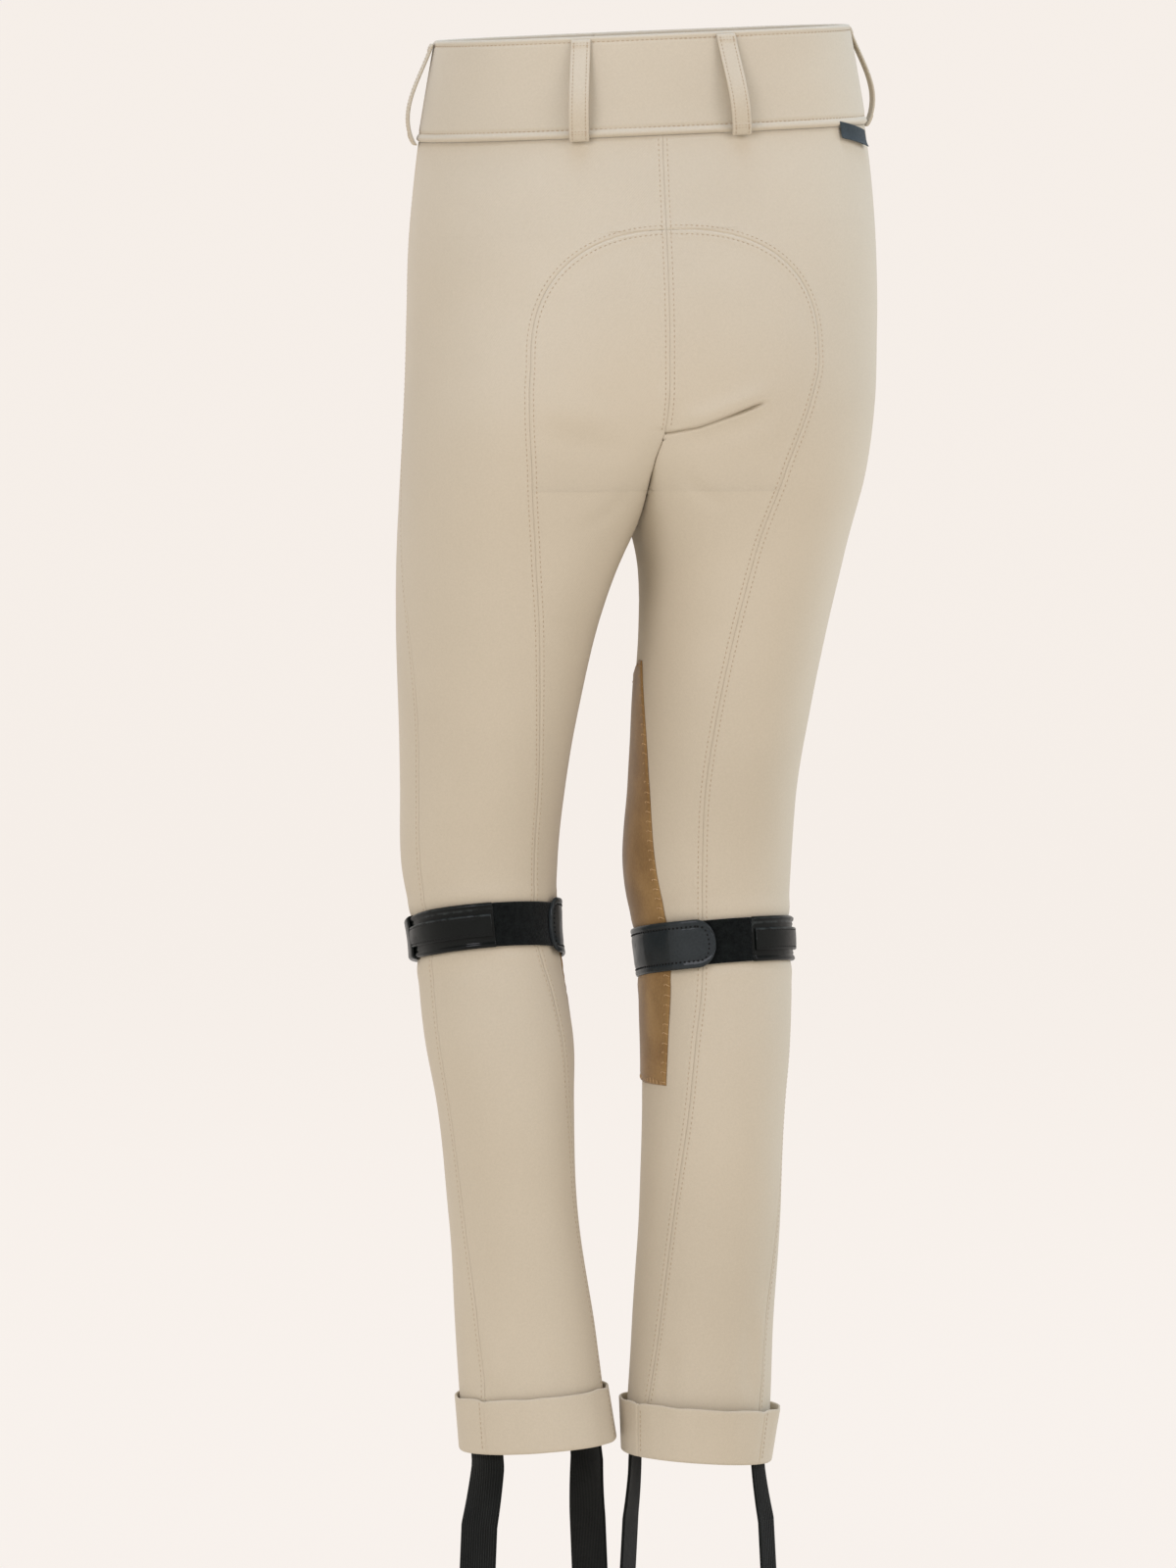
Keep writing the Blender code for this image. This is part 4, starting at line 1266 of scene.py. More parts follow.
@dataclass(frozen=True)
class StrapLeather(Finish):
    """Black strap leather: fine grain, a satin coat and rubbed, greyer edges."""

    broad: float = 40.0
    fine: float = 800.0
    specular: float = 0.06
    worn: Colour = (0.03, 0.036, 0.036)

    def surface(self, nodes: Nodes, at: Socket, weave: Socket) -> dict[str, Value]:
        """Grain, glossier in its creases, and rubbed where the piece's attribute says that it is exposed."""
        grain = nodes.effect(EFFECTS.grain, {"Vector": at, "Scale": 1000.0, "Wrinkles": 110.0})
        exposed = nodes.add("Attribute", {}, "Fac", attribute_name="exposed")
        rub = nodes.effect(EFFECTS.rub, {"Vector": at, "Exposed": exposed})["Mask"]
        dull, glossy = self.roughness + 0.14, self.roughness - 0.04
        return {"Base Color": nodes.blend(rub, self.tone(nodes, at), (*self.worn, 1)),
                "Roughness": nodes.ranged(grain["Creased"], 0, 1, dull, glossy),
                "Normal": nodes.bump(grain["Height"], 0.09, 0.5),
                "Coat Weight": 0.24,
                "Coat Roughness": 0.07}


@dataclass(frozen=True)
class LoopPile(Finish):
    """Black fastening pile: matted loops."""

    broad: float = 300.0
    fine: float = 1200.0
    specular: float = 0.1
    sheen: float = 0.12

    def surface(self, nodes: Nodes, at: Socket, weave: Socket) -> dict[str, Value]:
        """Deep loops."""
        loops, _ = self.nap(nodes, at, 1500.0, 260.0)
        return {"Base Color": self.tone(nodes, at), "Normal": nodes.bump(loops, 0.4, 1.0)}


@dataclass(frozen=True)
class Woven(Finish):
    """Narrow woven goods, such as elastic and label ribbon: ribs both ways."""

    broad: float = 60.0
    specular: float = 0.2
    sheen: float = 0.05
    rib: float = 1.3
    pick: float = 0.8
    depth: float = 0.18

    def surface(self, nodes: Nodes, at: Socket, weave: Socket) -> dict[str, Value]:
        """Ribs along it, crossed by picks, with painted shade between them and painted light on them."""
        ribs = self.ribs(nodes, weave, self.rib, (0, 1, 0), 0.0001)
        picks = self.ribs(nodes, weave, self.pick, (1, 0, 0), 0.0002)
        height = nodes.math("MULTIPLY_ADD", picks, 0.5, ribs)
        # painted shade in the weave's hollows and painted light on its ribs, from the weave's height
        return {"Base Color": self.shaded(nodes, at, height, (0.7, 0.7, 0.7), (1.1, 1.1, 1.1)),
                "Normal": nodes.bump(height, self.depth, 0.8)}


@dataclass(frozen=True)
class SewingThread(Finish):
    """Twisted sewing thread."""

    fine: float = 1500.0
    specular: float = 0.25

    def surface(self, nodes: Nodes, at: Socket, weave: Socket) -> dict[str, Value]:
        """Plies that slant across the stitches."""
        ply = self.ribs(nodes, at, 0.5, (0.6, 0.5, 0.62))
        return {"Base Color": self.tone(nodes, at), "Normal": nodes.bump(ply, 0.05, 0.5)}


@dataclass(frozen=True)
class ButtonPlastic(Finish):
    """Beige moulded button with faint clouding."""

    broad: float = 120.0
    fine: float = 600.0

    def surface(self, nodes: Nodes, at: Socket, weave: Socket) -> dict[str, Value]:
        """Almost smooth, with patches of gloss."""
        marks, lay = self.nap(nodes, at, 500.0, 150.0)
        return {"Base Color": self.tone(nodes, at),
                "Roughness": nodes.ranged(lay, 0, 1, self.roughness - 0.06, self.roughness + 0.08),
                "Normal": nodes.bump(marks, 0.02, 0.3)}


@dataclass(frozen=True)
class Finishes:
    """Every finish of the garment."""

    cloth: Material = StretchCloth("stretch_cloth", linear(196, 185, 164), linear(204, 193, 172),
                                   0.86).build()
    suede: Material = Suede("suede", linear(135, 105, 66), linear(152, 122, 78), 0.92).build()
    leather: Material = StrapLeather("strap_leather", linear(5, 8, 7), linear(12, 16, 15), 0.36).build()
    tab_leather: Material = StrapLeather("tab_leather", linear(37, 42, 44), linear(46, 51, 53), 0.42).build()
    pile: Material = LoopPile("loop_pile", linear(3, 5, 5), linear(17, 21, 20), 0.95).build()
    elastic: Material = Woven("elastic", linear(6, 9, 7), linear(18, 21, 19), 0.85).build()
    label: Material = Woven("label_ribbon", linear(48, 57, 60), linear(66, 75, 78), 0.75,
                            rib=0.5, pick=0.5, depth=0.06).build()
    # beige thread, toned darker than the cloth: partly the thread's own colour, partly painted shade of the
    # dimples that the stitches sink into
    thread: Material = SewingThread("thread_beige", linear(170, 151, 126), linear(184, 165, 140), 0.8).build()
    patch_thread: Material = SewingThread("thread_tan", linear(176, 142, 98), linear(196, 164, 122),
                                          0.75).build()
    black_thread: Material = SewingThread("thread_black", linear(3, 3, 3), linear(8, 9, 9), 0.7).build()
    button: Material = ButtonPlastic("button_plastic", linear(176, 156, 126), linear(196, 176, 146),
                                     0.35).build()


FINISHES = Finishes()


# ------------------------------------------------------------------ the pieces

@dataclass(eq=False)
class Lay:
    """Grid of places on a leg between two edges, close together at both.

    Each row is a height, the first edge's angle and the second edge's. The places near an edge close up where
    the piece is narrower than narrow.
    """

    side: Side
    rows: Rows
    edge: Sequence[float]
    inner: int
    narrow: float

    def __post_init__(self) -> None:
        """Place every row's columns, as lengths from the first edge and as angles."""
        self.across: list[list[float]] = []
        self.angles: list[list[float]] = []
        for height, start, end in self.rows:
            turned_by, lengths = FORM.run(self.side, height, start, end)
            width = float(lengths[-1])
            near = [value * min(1.0, width / self.narrow) for value in self.edge]
            middle = [mix(near[-1], width - near[-1], k / self.inner) for k in range(1, self.inner)]
            places = near + middle + [width - value for value in reversed(near)]
            self.across.append(places)
            self.angles.append([float(angle) for angle in np.interp(places, lengths, turned_by)])
        self.widths = [row[-1] for row in self.across]

    def grid(self, place: Corner, shift: Sequence[float], flip: bool) -> BMesh:
        """Surface of the grid, with each row's pattern shifted along it."""
        def chart(column: int, row: int) -> tuple[float, float]:
            """Place in the weave."""
            return self.across[row][column] - shift[row], self.rows[row][0]

        return cloth_grid(len(self.across[0]) - 1, len(self.rows) - 1, place, chart, flip)


@dataclass(eq=False)
class Panels:
    """Front, back and seat panel of each side, with their seams and topstitching."""

    step: float = 3.0
    fine_step: float = 0.6
    fine_top: float = -168.0
    knee_step: float = 2.0
    knee: tuple[float, float] = (-440.0, -520.0)
    edge: tuple[float, ...] = (0.0, 0.45, 1.0, 1.7, 2.7, 3.8, 5.2)
    narrow: float = 13.52
    stretch: float = 1.06
    pitch: float = 2.9
    stitch: float = 1.65
    hem_clear: float = 26.0

    def lower_heights(self, side: Side) -> list[float]:
        """Heights of the rows from the crotch down to the hem."""
        high, low = self.knee
        hem = FORM.hem[side] + FORM.panel_end
        return (PLAN.crotch_heights()[1:] + spread(FORM.crotch_low, high, self.step)[1:]
                + spread(high, low, self.knee_step)[1:] + spread(low, hem, self.step)[1:])

    @staticmethod
    def face(side: Side, angle: float, height: float) -> Spot:
        """Spot of the cloth's face."""
        spot = FORM.spot(side, angle, height)
        return Spot(spot.point + spot.outward * RELIEF.at(side, spot, angle, height), spot.outward)

    def cloth(self, name: str, side: Side, rows: Rows, columns: int,
              from_end: bool = False) -> None:
        """Cut panel on the form.

        Args:
            name: the node that the panel stands for.
            side: the wearer's side.
            rows: height, first edge's angle and second edge's angle of each row.
            columns: columns between the two edges' own.
            from_end: whether its weave runs along its second edge.
        """
        lay = Lay(side, rows, self.edge, columns, self.narrow)
        widths = lay.widths
        half = len(lay.angles[0]) // 2
        centre = [FORM.point(side, angles[half], row[0]) for row, angles in zip(rows, lay.angles)]
        drops = [0.0, *np.cumsum([(a - b).length for a, b in zip(centre, centre[1:])])]

        def place(column: int, row: int) -> Vector:
            """Point of the cloth's face."""
            return self.face(side, lay.angles[row][column], rows[row][0]).point

        shift = widths if from_end else [0.0] * len(rows)
        work = lay.grid(place, shift, flip=side.value * (rows[-1][2] - rows[-1][1]) > 0)
        area = sum((a + b) / 2 * (d - c) for a, b, c, d in zip(widths, widths[1:], drops, drops[1:]))
        cut = Cut(max(widths) / self.stretch, float(drops[-1]), Held.STRETCHED, ("waistband_cloth",),
                  float(area) / self.stretch)
        WORKSHOP.cloth(name, work, cut, FORM.wall)

    def build(self) -> None:
        """Build the six panels."""
        top = -FORM.band_half - FORM.gap
        torso = (spread(top, self.fine_top, self.step)
                 + spread(self.fine_top, FORM.crotch_high, self.fine_step)[1:])
        to_arc = spread(top, FORM.arc_top + 5, self.step)
        to_arc += [FORM.arc_top + above for above in (4.0, 2.7, 1.7, 1.0, 0.5)]
        for side in Side:
            lower = self.lower_heights(side)
            below = [height for height in torso if height < FORM.arc_bottom - 0.5]
            edge = [(height, FORM.centre(BACK, side, height)) for height in to_arc]
            curve = [FORM.arc_point(side, turn) for turn in spread(0, 90, 2.5)]
            curve += [(height, FORM.seat_seam(side, height)) for height in below + lower]
            front = [(height, FORM.side_seam(side, height), FORM.centre(FRONT, side, height))
                     for height in torso + lower]
            back = [(height, FORM.side_seam(side, height), end) for height, end in edge + curve]
            seat = [(height, start, FORM.centre(BACK, side, height)) for height, start in curve]
            self.cloth(f"front_{side.word}", side, front, 30)
            self.cloth(f"back_{side.word}", side, back, 24)
            self.cloth(f"seat_{side.word}", side, seat, 48, from_end=True)
        for side in Side:
            self.topstitch(side)

    def topstitch(self, side: Side) -> None:
        """Sew the rows of stitches beside one side's seams."""
        thread = Thread(f"stitches_{side.word}")
        for seam in PLAN.seams[side]:
            last = max(FORM.hem[side] + self.hem_clear, seam.rows_end)
            for row in seam.rows:
                path = [spot.point for spot in seam.line.beside(row)]
                spots = [self.face(side, *FORM.onto(side, place)) for place in path
                         if last < place.z < -FORM.band_half - 1]
                thread.sew(spots, self.pitch, self.stitch, 0.05)
        thread.finish(FINISHES.thread)


@dataclass(eq=False)
class Waistband:
    """Double waistband with two rows of topstitching, a rolled welt below, and its button at the front."""

    wall: float = 2.5
    proud: float = 1.0
    lap_under: float = -188.0
    lap_over: float = 192.0
    top_row: float = 24.9
    bottom_row: float = -23.2
    pitch: float = 2.7
    stitch: float = 1.9
    button_radius: float = 8.0
    button_wall: float = 3.5
    button_clear: float = 1.5
    button_profile: Outline = (
        (0, 0.55), (0.42, 0.58), (0.6, 0.68), (0.72, 0.9), (0.83, 1), (0.94, 0.92), (1, 0.62), (0.98, 0.3),
        (0.88, 0.06), (0.6, 0), (0, 0))

    def face(self, across: float) -> float:
        """Relief of its outer face: a groove at each row of stitches and a rounded welt at the lower edge."""
        grooves = 0.32 * bell(across - self.top_row, 0.7) + 0.5 * bell(across - self.bottom_row, 0.75)
        below = clamp(self.bottom_row - across, 0.6, 4.6)
        welt = 0.75 * sin(pi * below) ** 0.8 if 0 < below < 1 else 0.0
        edge = 0.2 * sin(pi * clamp(across, self.top_row + 0.6, FORM.band_half))
        return welt + edge - grooves

    def out_at(self, angle: float) -> float:
        """How far the band's inner face is from the form, with the lap at the front."""
        rise = (self.wall + FORM.gap) * clamp(angle, self.lap_under + 350, self.lap_under + 359)
        return self.proud - self.wall + rise

    def on_face(self, angle: float, across: float) -> Spot:
        """Spot of the band's plain outer face."""
        return facing(FORM.hip_point, angle, across, self.out_at(angle) + self.wall)

    def build(self) -> None:
        """Build the band, its stitches and its button."""
        round_waist = self.lap_over - self.lap_under
        length = sum((FORM.hip_point(a, 0) - FORM.hip_point(a + 2, 0)).length
                     for a in range(int(self.lap_under), int(self.lap_over), 2))

        def place(share: float, across: float, out: float) -> Vector:
            """Point of the band."""
            angle = self.lap_under + round_waist * share
            soft = 0.28 * noise.noise(Vector((angle / 24, across / 26, 3.1))) if out > self.wall / 2 else 0.0
            return FORM.hip_point(angle, across, self.out_at(angle) + out + soft)

        outline = strip_section(FORM.band_half, self.wall, self.face, step=0.8, turns=6)
        work = sweep(outline, spread(0, 1, 1.6 / round_waist), place, length, self.wall)
        cut = Cut(2 * FORM.band_half, length, Held.STRETCHED, ("front_left_cloth", "front_right_cloth"))
        WORKSHOP.cloth("waistband", work, cut)
        thread = Thread("stitches_waistband")
        for row in (self.top_row, self.bottom_row):
            spots = [self.on_face(angle, row) for angle in spread(self.lap_under + 8, self.lap_over - 1, 1.5)]
            thread.sew(spots, self.pitch, self.stitch, self.face(row) + 0.12)
        end = self.lap_over - 1.4
        upright = [self.on_face(end, across) for across in spread(self.top_row, self.bottom_row, 4)]
        thread.sew(upright, self.pitch, self.stitch, 0.05)
        thread.finish(FINISHES.thread)
        self.button()

    def button(self) -> None:
        """Turned button with a raised rim, a dished middle and thread through its four holes."""
        radius, wall = self.button_radius, self.button_wall
        work = turned([(x * radius, z * wall) for x, z in self.button_profile], 48)
        base = facing(FORM.hip_point, 180, 0, self.out_at(180) + self.wall + self.button_clear).point
        where = Matrix.Scale(MM, 4) @ Matrix.Translation(base) @ Matrix.Rotation(pi / 2, 4, "X")
        bmesh.ops.transform(work, matrix=where, verts=work.verts)
        WORKSHOP.add("waist_button_turned", work, FINISHES.button, "button", "waist_button")
        thread = Thread("stitches_button", 0.8, 0.7)
        hole = 0.2 * radius
        seen = base + Vector((0, -0.62 * wall, 0))
        for z in (-hole, hole):
            for shift in (-0.35, 0.35):
                ends = (seen + Vector((x, 0, z + shift)) for x in (-hole, hole))
                thread.bar(*ends, Vector((0, -1, 0)))
        shank = base + Vector((0, 0.2, 0))
        for k in range(6):
            away = Vector((cos(tau * k / 6), 0, sin(tau * k / 6)))
            thread.bar(shank + 1.4 * away + Vector((0, self.button_clear, 0)), shank + away, away)
        thread.finish(FINISHES.thread)


@dataclass(eq=False)
class BeltLoops:
    """Six belt loops, sewn at the top and below the waistband, bowed out most in their lower half."""

    places: dict[str, tuple[float, float]] = field(default_factory=lambda: {
        "back_left": (22, 21), "back_right": (-17.5, -20), "side_left": (94, 93), "side_right": (-94, -93),
        "front_left": (152, 152), "front_right": (-152, -152)})
    width: float = 11.0
    wall: float = 1.5
    bow: float = 7.2
    top: float = 26.5
    bottom: float = -29.8
    proud: float = 1.3
    row: float = 3.7
    bars: tuple[float, ...] = (0.035, 0.06, 0.9, 0.925)

    def face(self, across: float) -> float:
        """Relief of its outer face: a groove at each row of stitches, soft between."""
        return 0.12 * (1 - (2 * across / self.width) ** 2) - 0.16 * bell(abs(across) - self.row, 0.5)

    def place(self, name: str, share: float, across: float, out: float) -> Vector:
        """Point of a loop."""
        angle = mix(*self.places[name], share)
        tangent = (FORM.hip_point(angle + 1, 0) - FORM.hip_point(angle - 1, 0)).normalized()
        bow = self.bow * sin(pi * share ** 1.5) ** 0.8 if 0 < share < 1 else 0.0
        hem = 0.45 * (ease(share, 0.88, 0.9) + 1 - ease(share, 0.06, 0.08)) if out > self.wall / 2 else 0.0
        middle = FORM.hip_point(angle, mix(self.top, self.bottom, share), self.proud + bow + out + hem)
        return middle + tangent * across

    def build(self) -> None:
        """Build the loops and their stitches."""
        thread = Thread("stitches_belt_loops", 0.5, 0.4)
        length = 1.06 * (self.top - self.bottom)
        outline = strip_section(self.width / 2, self.wall, self.face, step=0.55)
        cut = Cut(self.width, length, Held.FOLDED, ("waistband_cloth",))
        for name in self.places:
            place = partial(self.place, name)
            work = sweep(outline, spread(0, 1, 0.02), place, length, self.wall)
            WORKSHOP.cloth(f"belt_loop_{name}", work, cut)
            for row in (-self.row, self.row):
                spots = [facing(place, share, row, self.wall) for share in spread(0.02, 0.98, 0.03)]
                thread.sew(spots, 2.1, 1.4)
            for share in self.bars:
                start, end = (place(share, across * self.width, self.wall) for across in (-0.42, 0.42))
                outward = facing(place, share, 0, self.wall).outward
                for k in range(5):
                    thread.bar(start.lerp(end, k / 5 + 0.02), start.lerp(end, (k + 1) / 5 - 0.02), outward)
        thread.finish(FINISHES.thread)


@dataclass(eq=False)
class Fly:
    """Fly facing, lapped left over right, with its curved rows of topstitching."""

    bottom: float = -152.0
    width: float = 34.0
    lap: float = 6.0
    straight: float = 0.6
    rows: tuple[float, ...] = (3.0, 6.0)
    columns: tuple[float, ...] = (0.0, 0.02, 0.05, 0.1, 0.18, 0.3, 0.5, 0.7, 0.82, 0.9, 0.95, 0.98, 1.0)
    filled: float = 0.82

    def slope(self, share: float) -> float:
        """How upright the facing's free edge is at a share of its height, from 1 down to 0 at its end."""
        return sqrt(max(1 - clamp(share, self.straight, 1) ** 2, 0.0))

    def reach(self, share: float) -> float:
        """Width of the facing at a share of its height."""
        return self.width * self.slope(share) + 0.5

    def at(self, x: float, height: float, out: float) -> Vector:
        """Point of the facing at x from the middle plane."""
        side = LEFT if x >= 0 else RIGHT
        angle = 180 - FORM.angle_across(FORM.section(side, height), abs(x))
        return FORM.point(side, angle, height, FORM.gap + out, parted=False)

    def build(self) -> None:
        """Build the facing and its stitches."""
        top = -FORM.band_half - FORM.gap
        shares = spread(0, self.straight, 0.03)
        shares += [mix(self.straight, 1, sin(turn)) for turn in quarter_turns(14)[1:]]

        def place(column: int, row: int) -> Vector:
            """Point of the facing's face, rolled down at its edge."""
            share, across = shares[row], self.columns[column]
            reach = self.reach(share)
            roll = 0.55 * (1 - clamp(min(across, 1 - across) * reach, 0, 1.2)) ** 2
            swell = 0.25 * sum(bell(reach * (1 - across) - row_in, 0.8) for row_in in self.rows)
            return self.at(-self.lap + reach * across, mix(top, self.bottom, share), FORM.wall - roll - swell)

        def chart(column: int, row: int) -> tuple[float, float]:
            """Place in the weave."""
            return self.width * self.columns[column], mix(top, self.bottom, shares[row])

        work = cloth_grid(len(self.columns) - 1, len(shares) - 1, place, chart)
        tall = top - self.bottom
        cut = Cut(self.width + self.lap, tall, Held.STRETCHED, ("front_left_cloth",),
                  self.filled * self.width * tall)
        WORKSHOP.cloth("fly", work, cut, FORM.wall)
        thread = Thread("stitches_fly")
        for row in self.rows:
            spots = []
            for share in spread(0.0, 0.985, 0.02):
                x = -self.lap + self.reach(share) - row / max(self.slope(share), 0.35)
                if x > -self.lap + 1:
                    spots.append(facing(self.at, x, mix(top, self.bottom, share), FORM.wall))
            thread.sew(spots, 2.7, 1.9, -0.1)
        thread.finish(FINISHES.thread)


@dataclass(eq=False)
class KneePatches:
    """Suede patches over the inner side of each knee, pointed at the top, sewn round with tan stitches."""

    wall: float = 1.0
    clear: float = 0.2
    top: float = -323.0
    bottom: float = -559.5
    point_height: float = 42.0
    tip: float = 0.12
    pitch: float = 5.4
    bite: float = 3.0
    edge: tuple[float, ...] = (0.0, 0.5, 1.1, 1.9, 3.0)
    narrow: float = 8.0

    def edges(self, side: Side, height: float) -> tuple[float, float]:
        """Angles of the patch's two edges at a height."""
        start, end = along(LEGS[side], "patch_back", height), along(LEGS[side], "patch_front", height)
        widening = clamp(height, self.top, self.top - self.point_height)
        return start, start + (end - start) * mix(self.tip, 1, sin(widening * pi / 2))

    def build(self) -> None:
        """Build both patches and their edge stitches."""
        for side in Side:
            self.patch(side)
            self.stitch(side)

    def patch(self, side: Side) -> None:
        """Cut one patch."""
        heights = [self.top - value for value in (0, 0.4, 0.9, 1.6, 2.6, 4)]
        heights += spread(self.top - 6.5, self.bottom + 5, 3)
        heights += [self.bottom + value for value in (3, 1.8, 1.0, 0.45, 0)]
        rows = [(height, *self.edges(side, height)) for height in heights]
        lay = Lay(side, rows, self.edge, 22, self.narrow)

        def place(column: int, row: int) -> Vector:
            """Point of the patch's face, rolled down at its edges and softly puckered by its stitches."""
            across, height, angle = lay.across[row][column], heights[row], lay.angles[row][column]
            rim = min(across, lay.widths[row] - across, self.top - height, height - self.bottom)
            roll = 0.75 * (1 - clamp(rim, 0, 1.6)) ** 2
            pucker = 0.22 * sin(tau * height / self.pitch) * bell(rim - 2.5, 2.0)
            soft = 0.3 * noise.noise(Vector((across / 17, height / 22, side.value * 4.0)))
            out = self.clear + self.wall - roll + pucker + soft + GARTERS[side].grip(angle, height)
            return FORM.point(side, angle, height, out)

        work = lay.grid(place, [0.0] * len(heights), flip=side is RIGHT)
        tall, wide = self.top - self.bottom, max(lay.widths)
        area = sum(lay.widths) / len(lay.widths) * tall
        cut = Cut(wide, tall, Held.STRETCHED, (f"front_{side.word}_cloth", f"seat_{side.word}_cloth"),
                  min(area, wide * tall))
        name = f"knee_patch_{side.word}"
        WORKSHOP.add(f"{name}_suede", work, FINISHES.suede, "suede", name, self.wall, cut)

    def stitch(self, side: Side) -> None:
        """Sew a patch's edges with bars across the edge and a thread between them."""
        thread = Thread(f"stitches_patch_{side.word}", 0.6, 0.5)
        out = self.clear + self.wall
        for edge, inward in ((0, -1), (1, 1)):
            for height in spread(self.top - 3, self.bottom + 2, self.pitch):
                angle = self.edges(side, height)[edge]
                step = inward * degrees(1 / FORM.section(side, height).half_width)
                tilt = 0.9 * noise.noise(Vector((height, side.value * 7.0, edge)))
                start = FORM.point(side, angle - 0.25 * step, height - 0.4, out - 0.55)
                end = FORM.point(side, angle + self.bite * step, height + 0.5 + tilt, out + 0.12)
                outward = FORM.spot(side, angle, height).outward
                thread.bar(start, end, outward)
                thread.bar(end, end + Vector((0, 0, -1.2)), outward)
        for k in range(1, 24):
            angle = mix(*self.edges(side, self.bottom), k / 24)
            low = FORM.point(side, angle, self.bottom + 0.1, out - 0.5)
            high = FORM.point(side, angle, self.bottom + 3.2 + 0.8 * sin(5 * k), out + 0.1)
            thread.bar(low, high, FORM.spot(side, angle, self.bottom).outward)
        thread.finish(FINISHES.patch_thread, "suede")


class Flare(NamedTuple):
    """How far a cuff stands off at its outer and at its inner side."""

    outer: float
    inner: float


class Hem(NamedTuple):
    """One cuff's flares at its top and lower edge, and the angles of the seams that it crosses."""

    top: Flare
    low: Flare
    seams: tuple[float, ...]


@dataclass(eq=False)
class Cuffs:
    """Hem of each leg, turned up on the outside and standing off a little at its top edge."""

    tall: float = 31.0
    wall: float = 1.5
    climb: float = -3.0
    roll: float = 1.5
    round_leg: float = 0.75
    row: float = 3.6
    hems: dict[Side, Hem] = field(default_factory=lambda: {
        LEFT: Hem(Flare(0.6, 1.2), Flare(0.4, 3.2), (46.0, -71.0, -153.0)),
        RIGHT: Hem(Flare(4.0, 2.6), Flare(0.0, 0.3), (46.0, -58.0, -148.0))})
    shifts: tuple[float, ...] = (-3.6, -2.6, -1.8, -1.1, -0.5, 0, 0.5, 1.1, 1.8, 2.6, 3.6)
    folded: Outline = ((3.5, -0.9), (3.6, -0.6), (3.5, -0.25), (3.0, -0.05), (2.3, 0.05))

    def outline(self) -> list[tuple[float, float, float]]:
        """Section of the turned hem as (up, share of the flare, out), from its top down the outside."""
        top, half = self.tall - self.wall / 2, self.wall / 2
        low_bends, top_bends = ([pi * k / count for k in range(1, count)] for count in (8, 5))
        outline = [(up, 1.0, FORM.gap + self.wall) for up in spread(top, self.roll, 1.6)]
        outline += [(self.roll * (1 - sin(b)), 1.0, FORM.gap + self.roll * cos(b)) for b in low_bends]
        outline += [(up, 0.0, FORM.gap - self.roll) for up in (self.roll, 2.6, 3.2)]
        outline += [(up, 0.0, out) for up, out in self.folded]
        outline += [(up, 1.0, FORM.gap) for up in [2.2, *spread(3.4, top, 1.8)]]
        return outline + [(top + half * sin(b), 1.0, FORM.gap + half - half * cos(b)) for b in top_bends]

    def point(self, side: Side, angle: float, up: float, flared: float, out: float) -> Vector:
        """Point of a cuff, drawn in at its seams and uneven along its top."""
        hem, share, turn = self.hems[side], up / self.tall, radians(angle)
        apart = min(abs((angle - seam + 180) % 360 - 180) for seam in hem.seams) * self.round_leg
        wave = noise.noise(Vector((3 * cos(turn), 3 * sin(turn), side.value * 5.0)))
        top_drop = (0.9 * bell(apart, 3) + 0.7 * wave) * ease(share, 0.5, 1)
        height = FORM.hem[side] + up + self.climb * sin(turn) - top_drop
        top_out, low_out = (mix(flare.inner, flare.outer, 0.5 + 0.5 * sin(turn)) for flare in hem[:2])
        stand = mix(low_out, top_out + 0.5, share) * (1 - 0.3 * bell(apart, 9) + 0.35 * wave) * flared
        if flared and out > FORM.gap + 0.1:
            stand += (0.25 * (1 - ease(apart, 3, 7)) - 0.6 * bell(apart, 0.7) + 0.35 * wave * share
                      - 0.12 * bell(apart - 2.6, 0.6))
        return FORM.point(side, angle, height, out + stand)

    def build(self) -> None:
        """Build both cuffs and their stitches."""
        for side in Side:
            self.cuff(side)

    def cuff(self, side: Side) -> None:
        """Build one cuff and sew along its seams."""
        outline, seams = self.outline(), self.hems[side].seams
        near = {round((seam + shift) % 360, 2) for seam in seams for shift in self.shifts}
        angles = sorted({round(value, 2) for value in spread(0, 360, 2.4)} | near)

        def place(column: int, row: int) -> Vector:
            """Corner of the cuff's grid."""
            return self.point(side, angles[row % (len(angles) - 1)], *outline[column % len(outline)])

        def chart(column: int, row: int) -> tuple[float, float]:
            """Place in the weave."""
            return angles[row] * self.round_leg, outline[column % len(outline)][0]

        work = cloth_grid(len(outline), len(angles) - 1, place, chart)
        round_hem = float(FORM.run(side, FORM.hem[side], 0, 360)[1][-1])
        cut = Cut(round_hem, self.tall + 4, Held.FOLDED, (f"front_{side.word}_cloth",))
        WORKSHOP.cloth(f"cuff_{side.word}", work, cut)
        thread = Thread(f"stitches_cuff_{side.word}")
        for seam in seams:
            thread.sew([facing(self.point, side, seam + self.row, up, 1.0, FORM.gap + self.wall)
                        for up in spread(3, self.tall - 2, 2)], 2.7, 1.9, 0.05)
        thread.finish(FINISHES.thread)


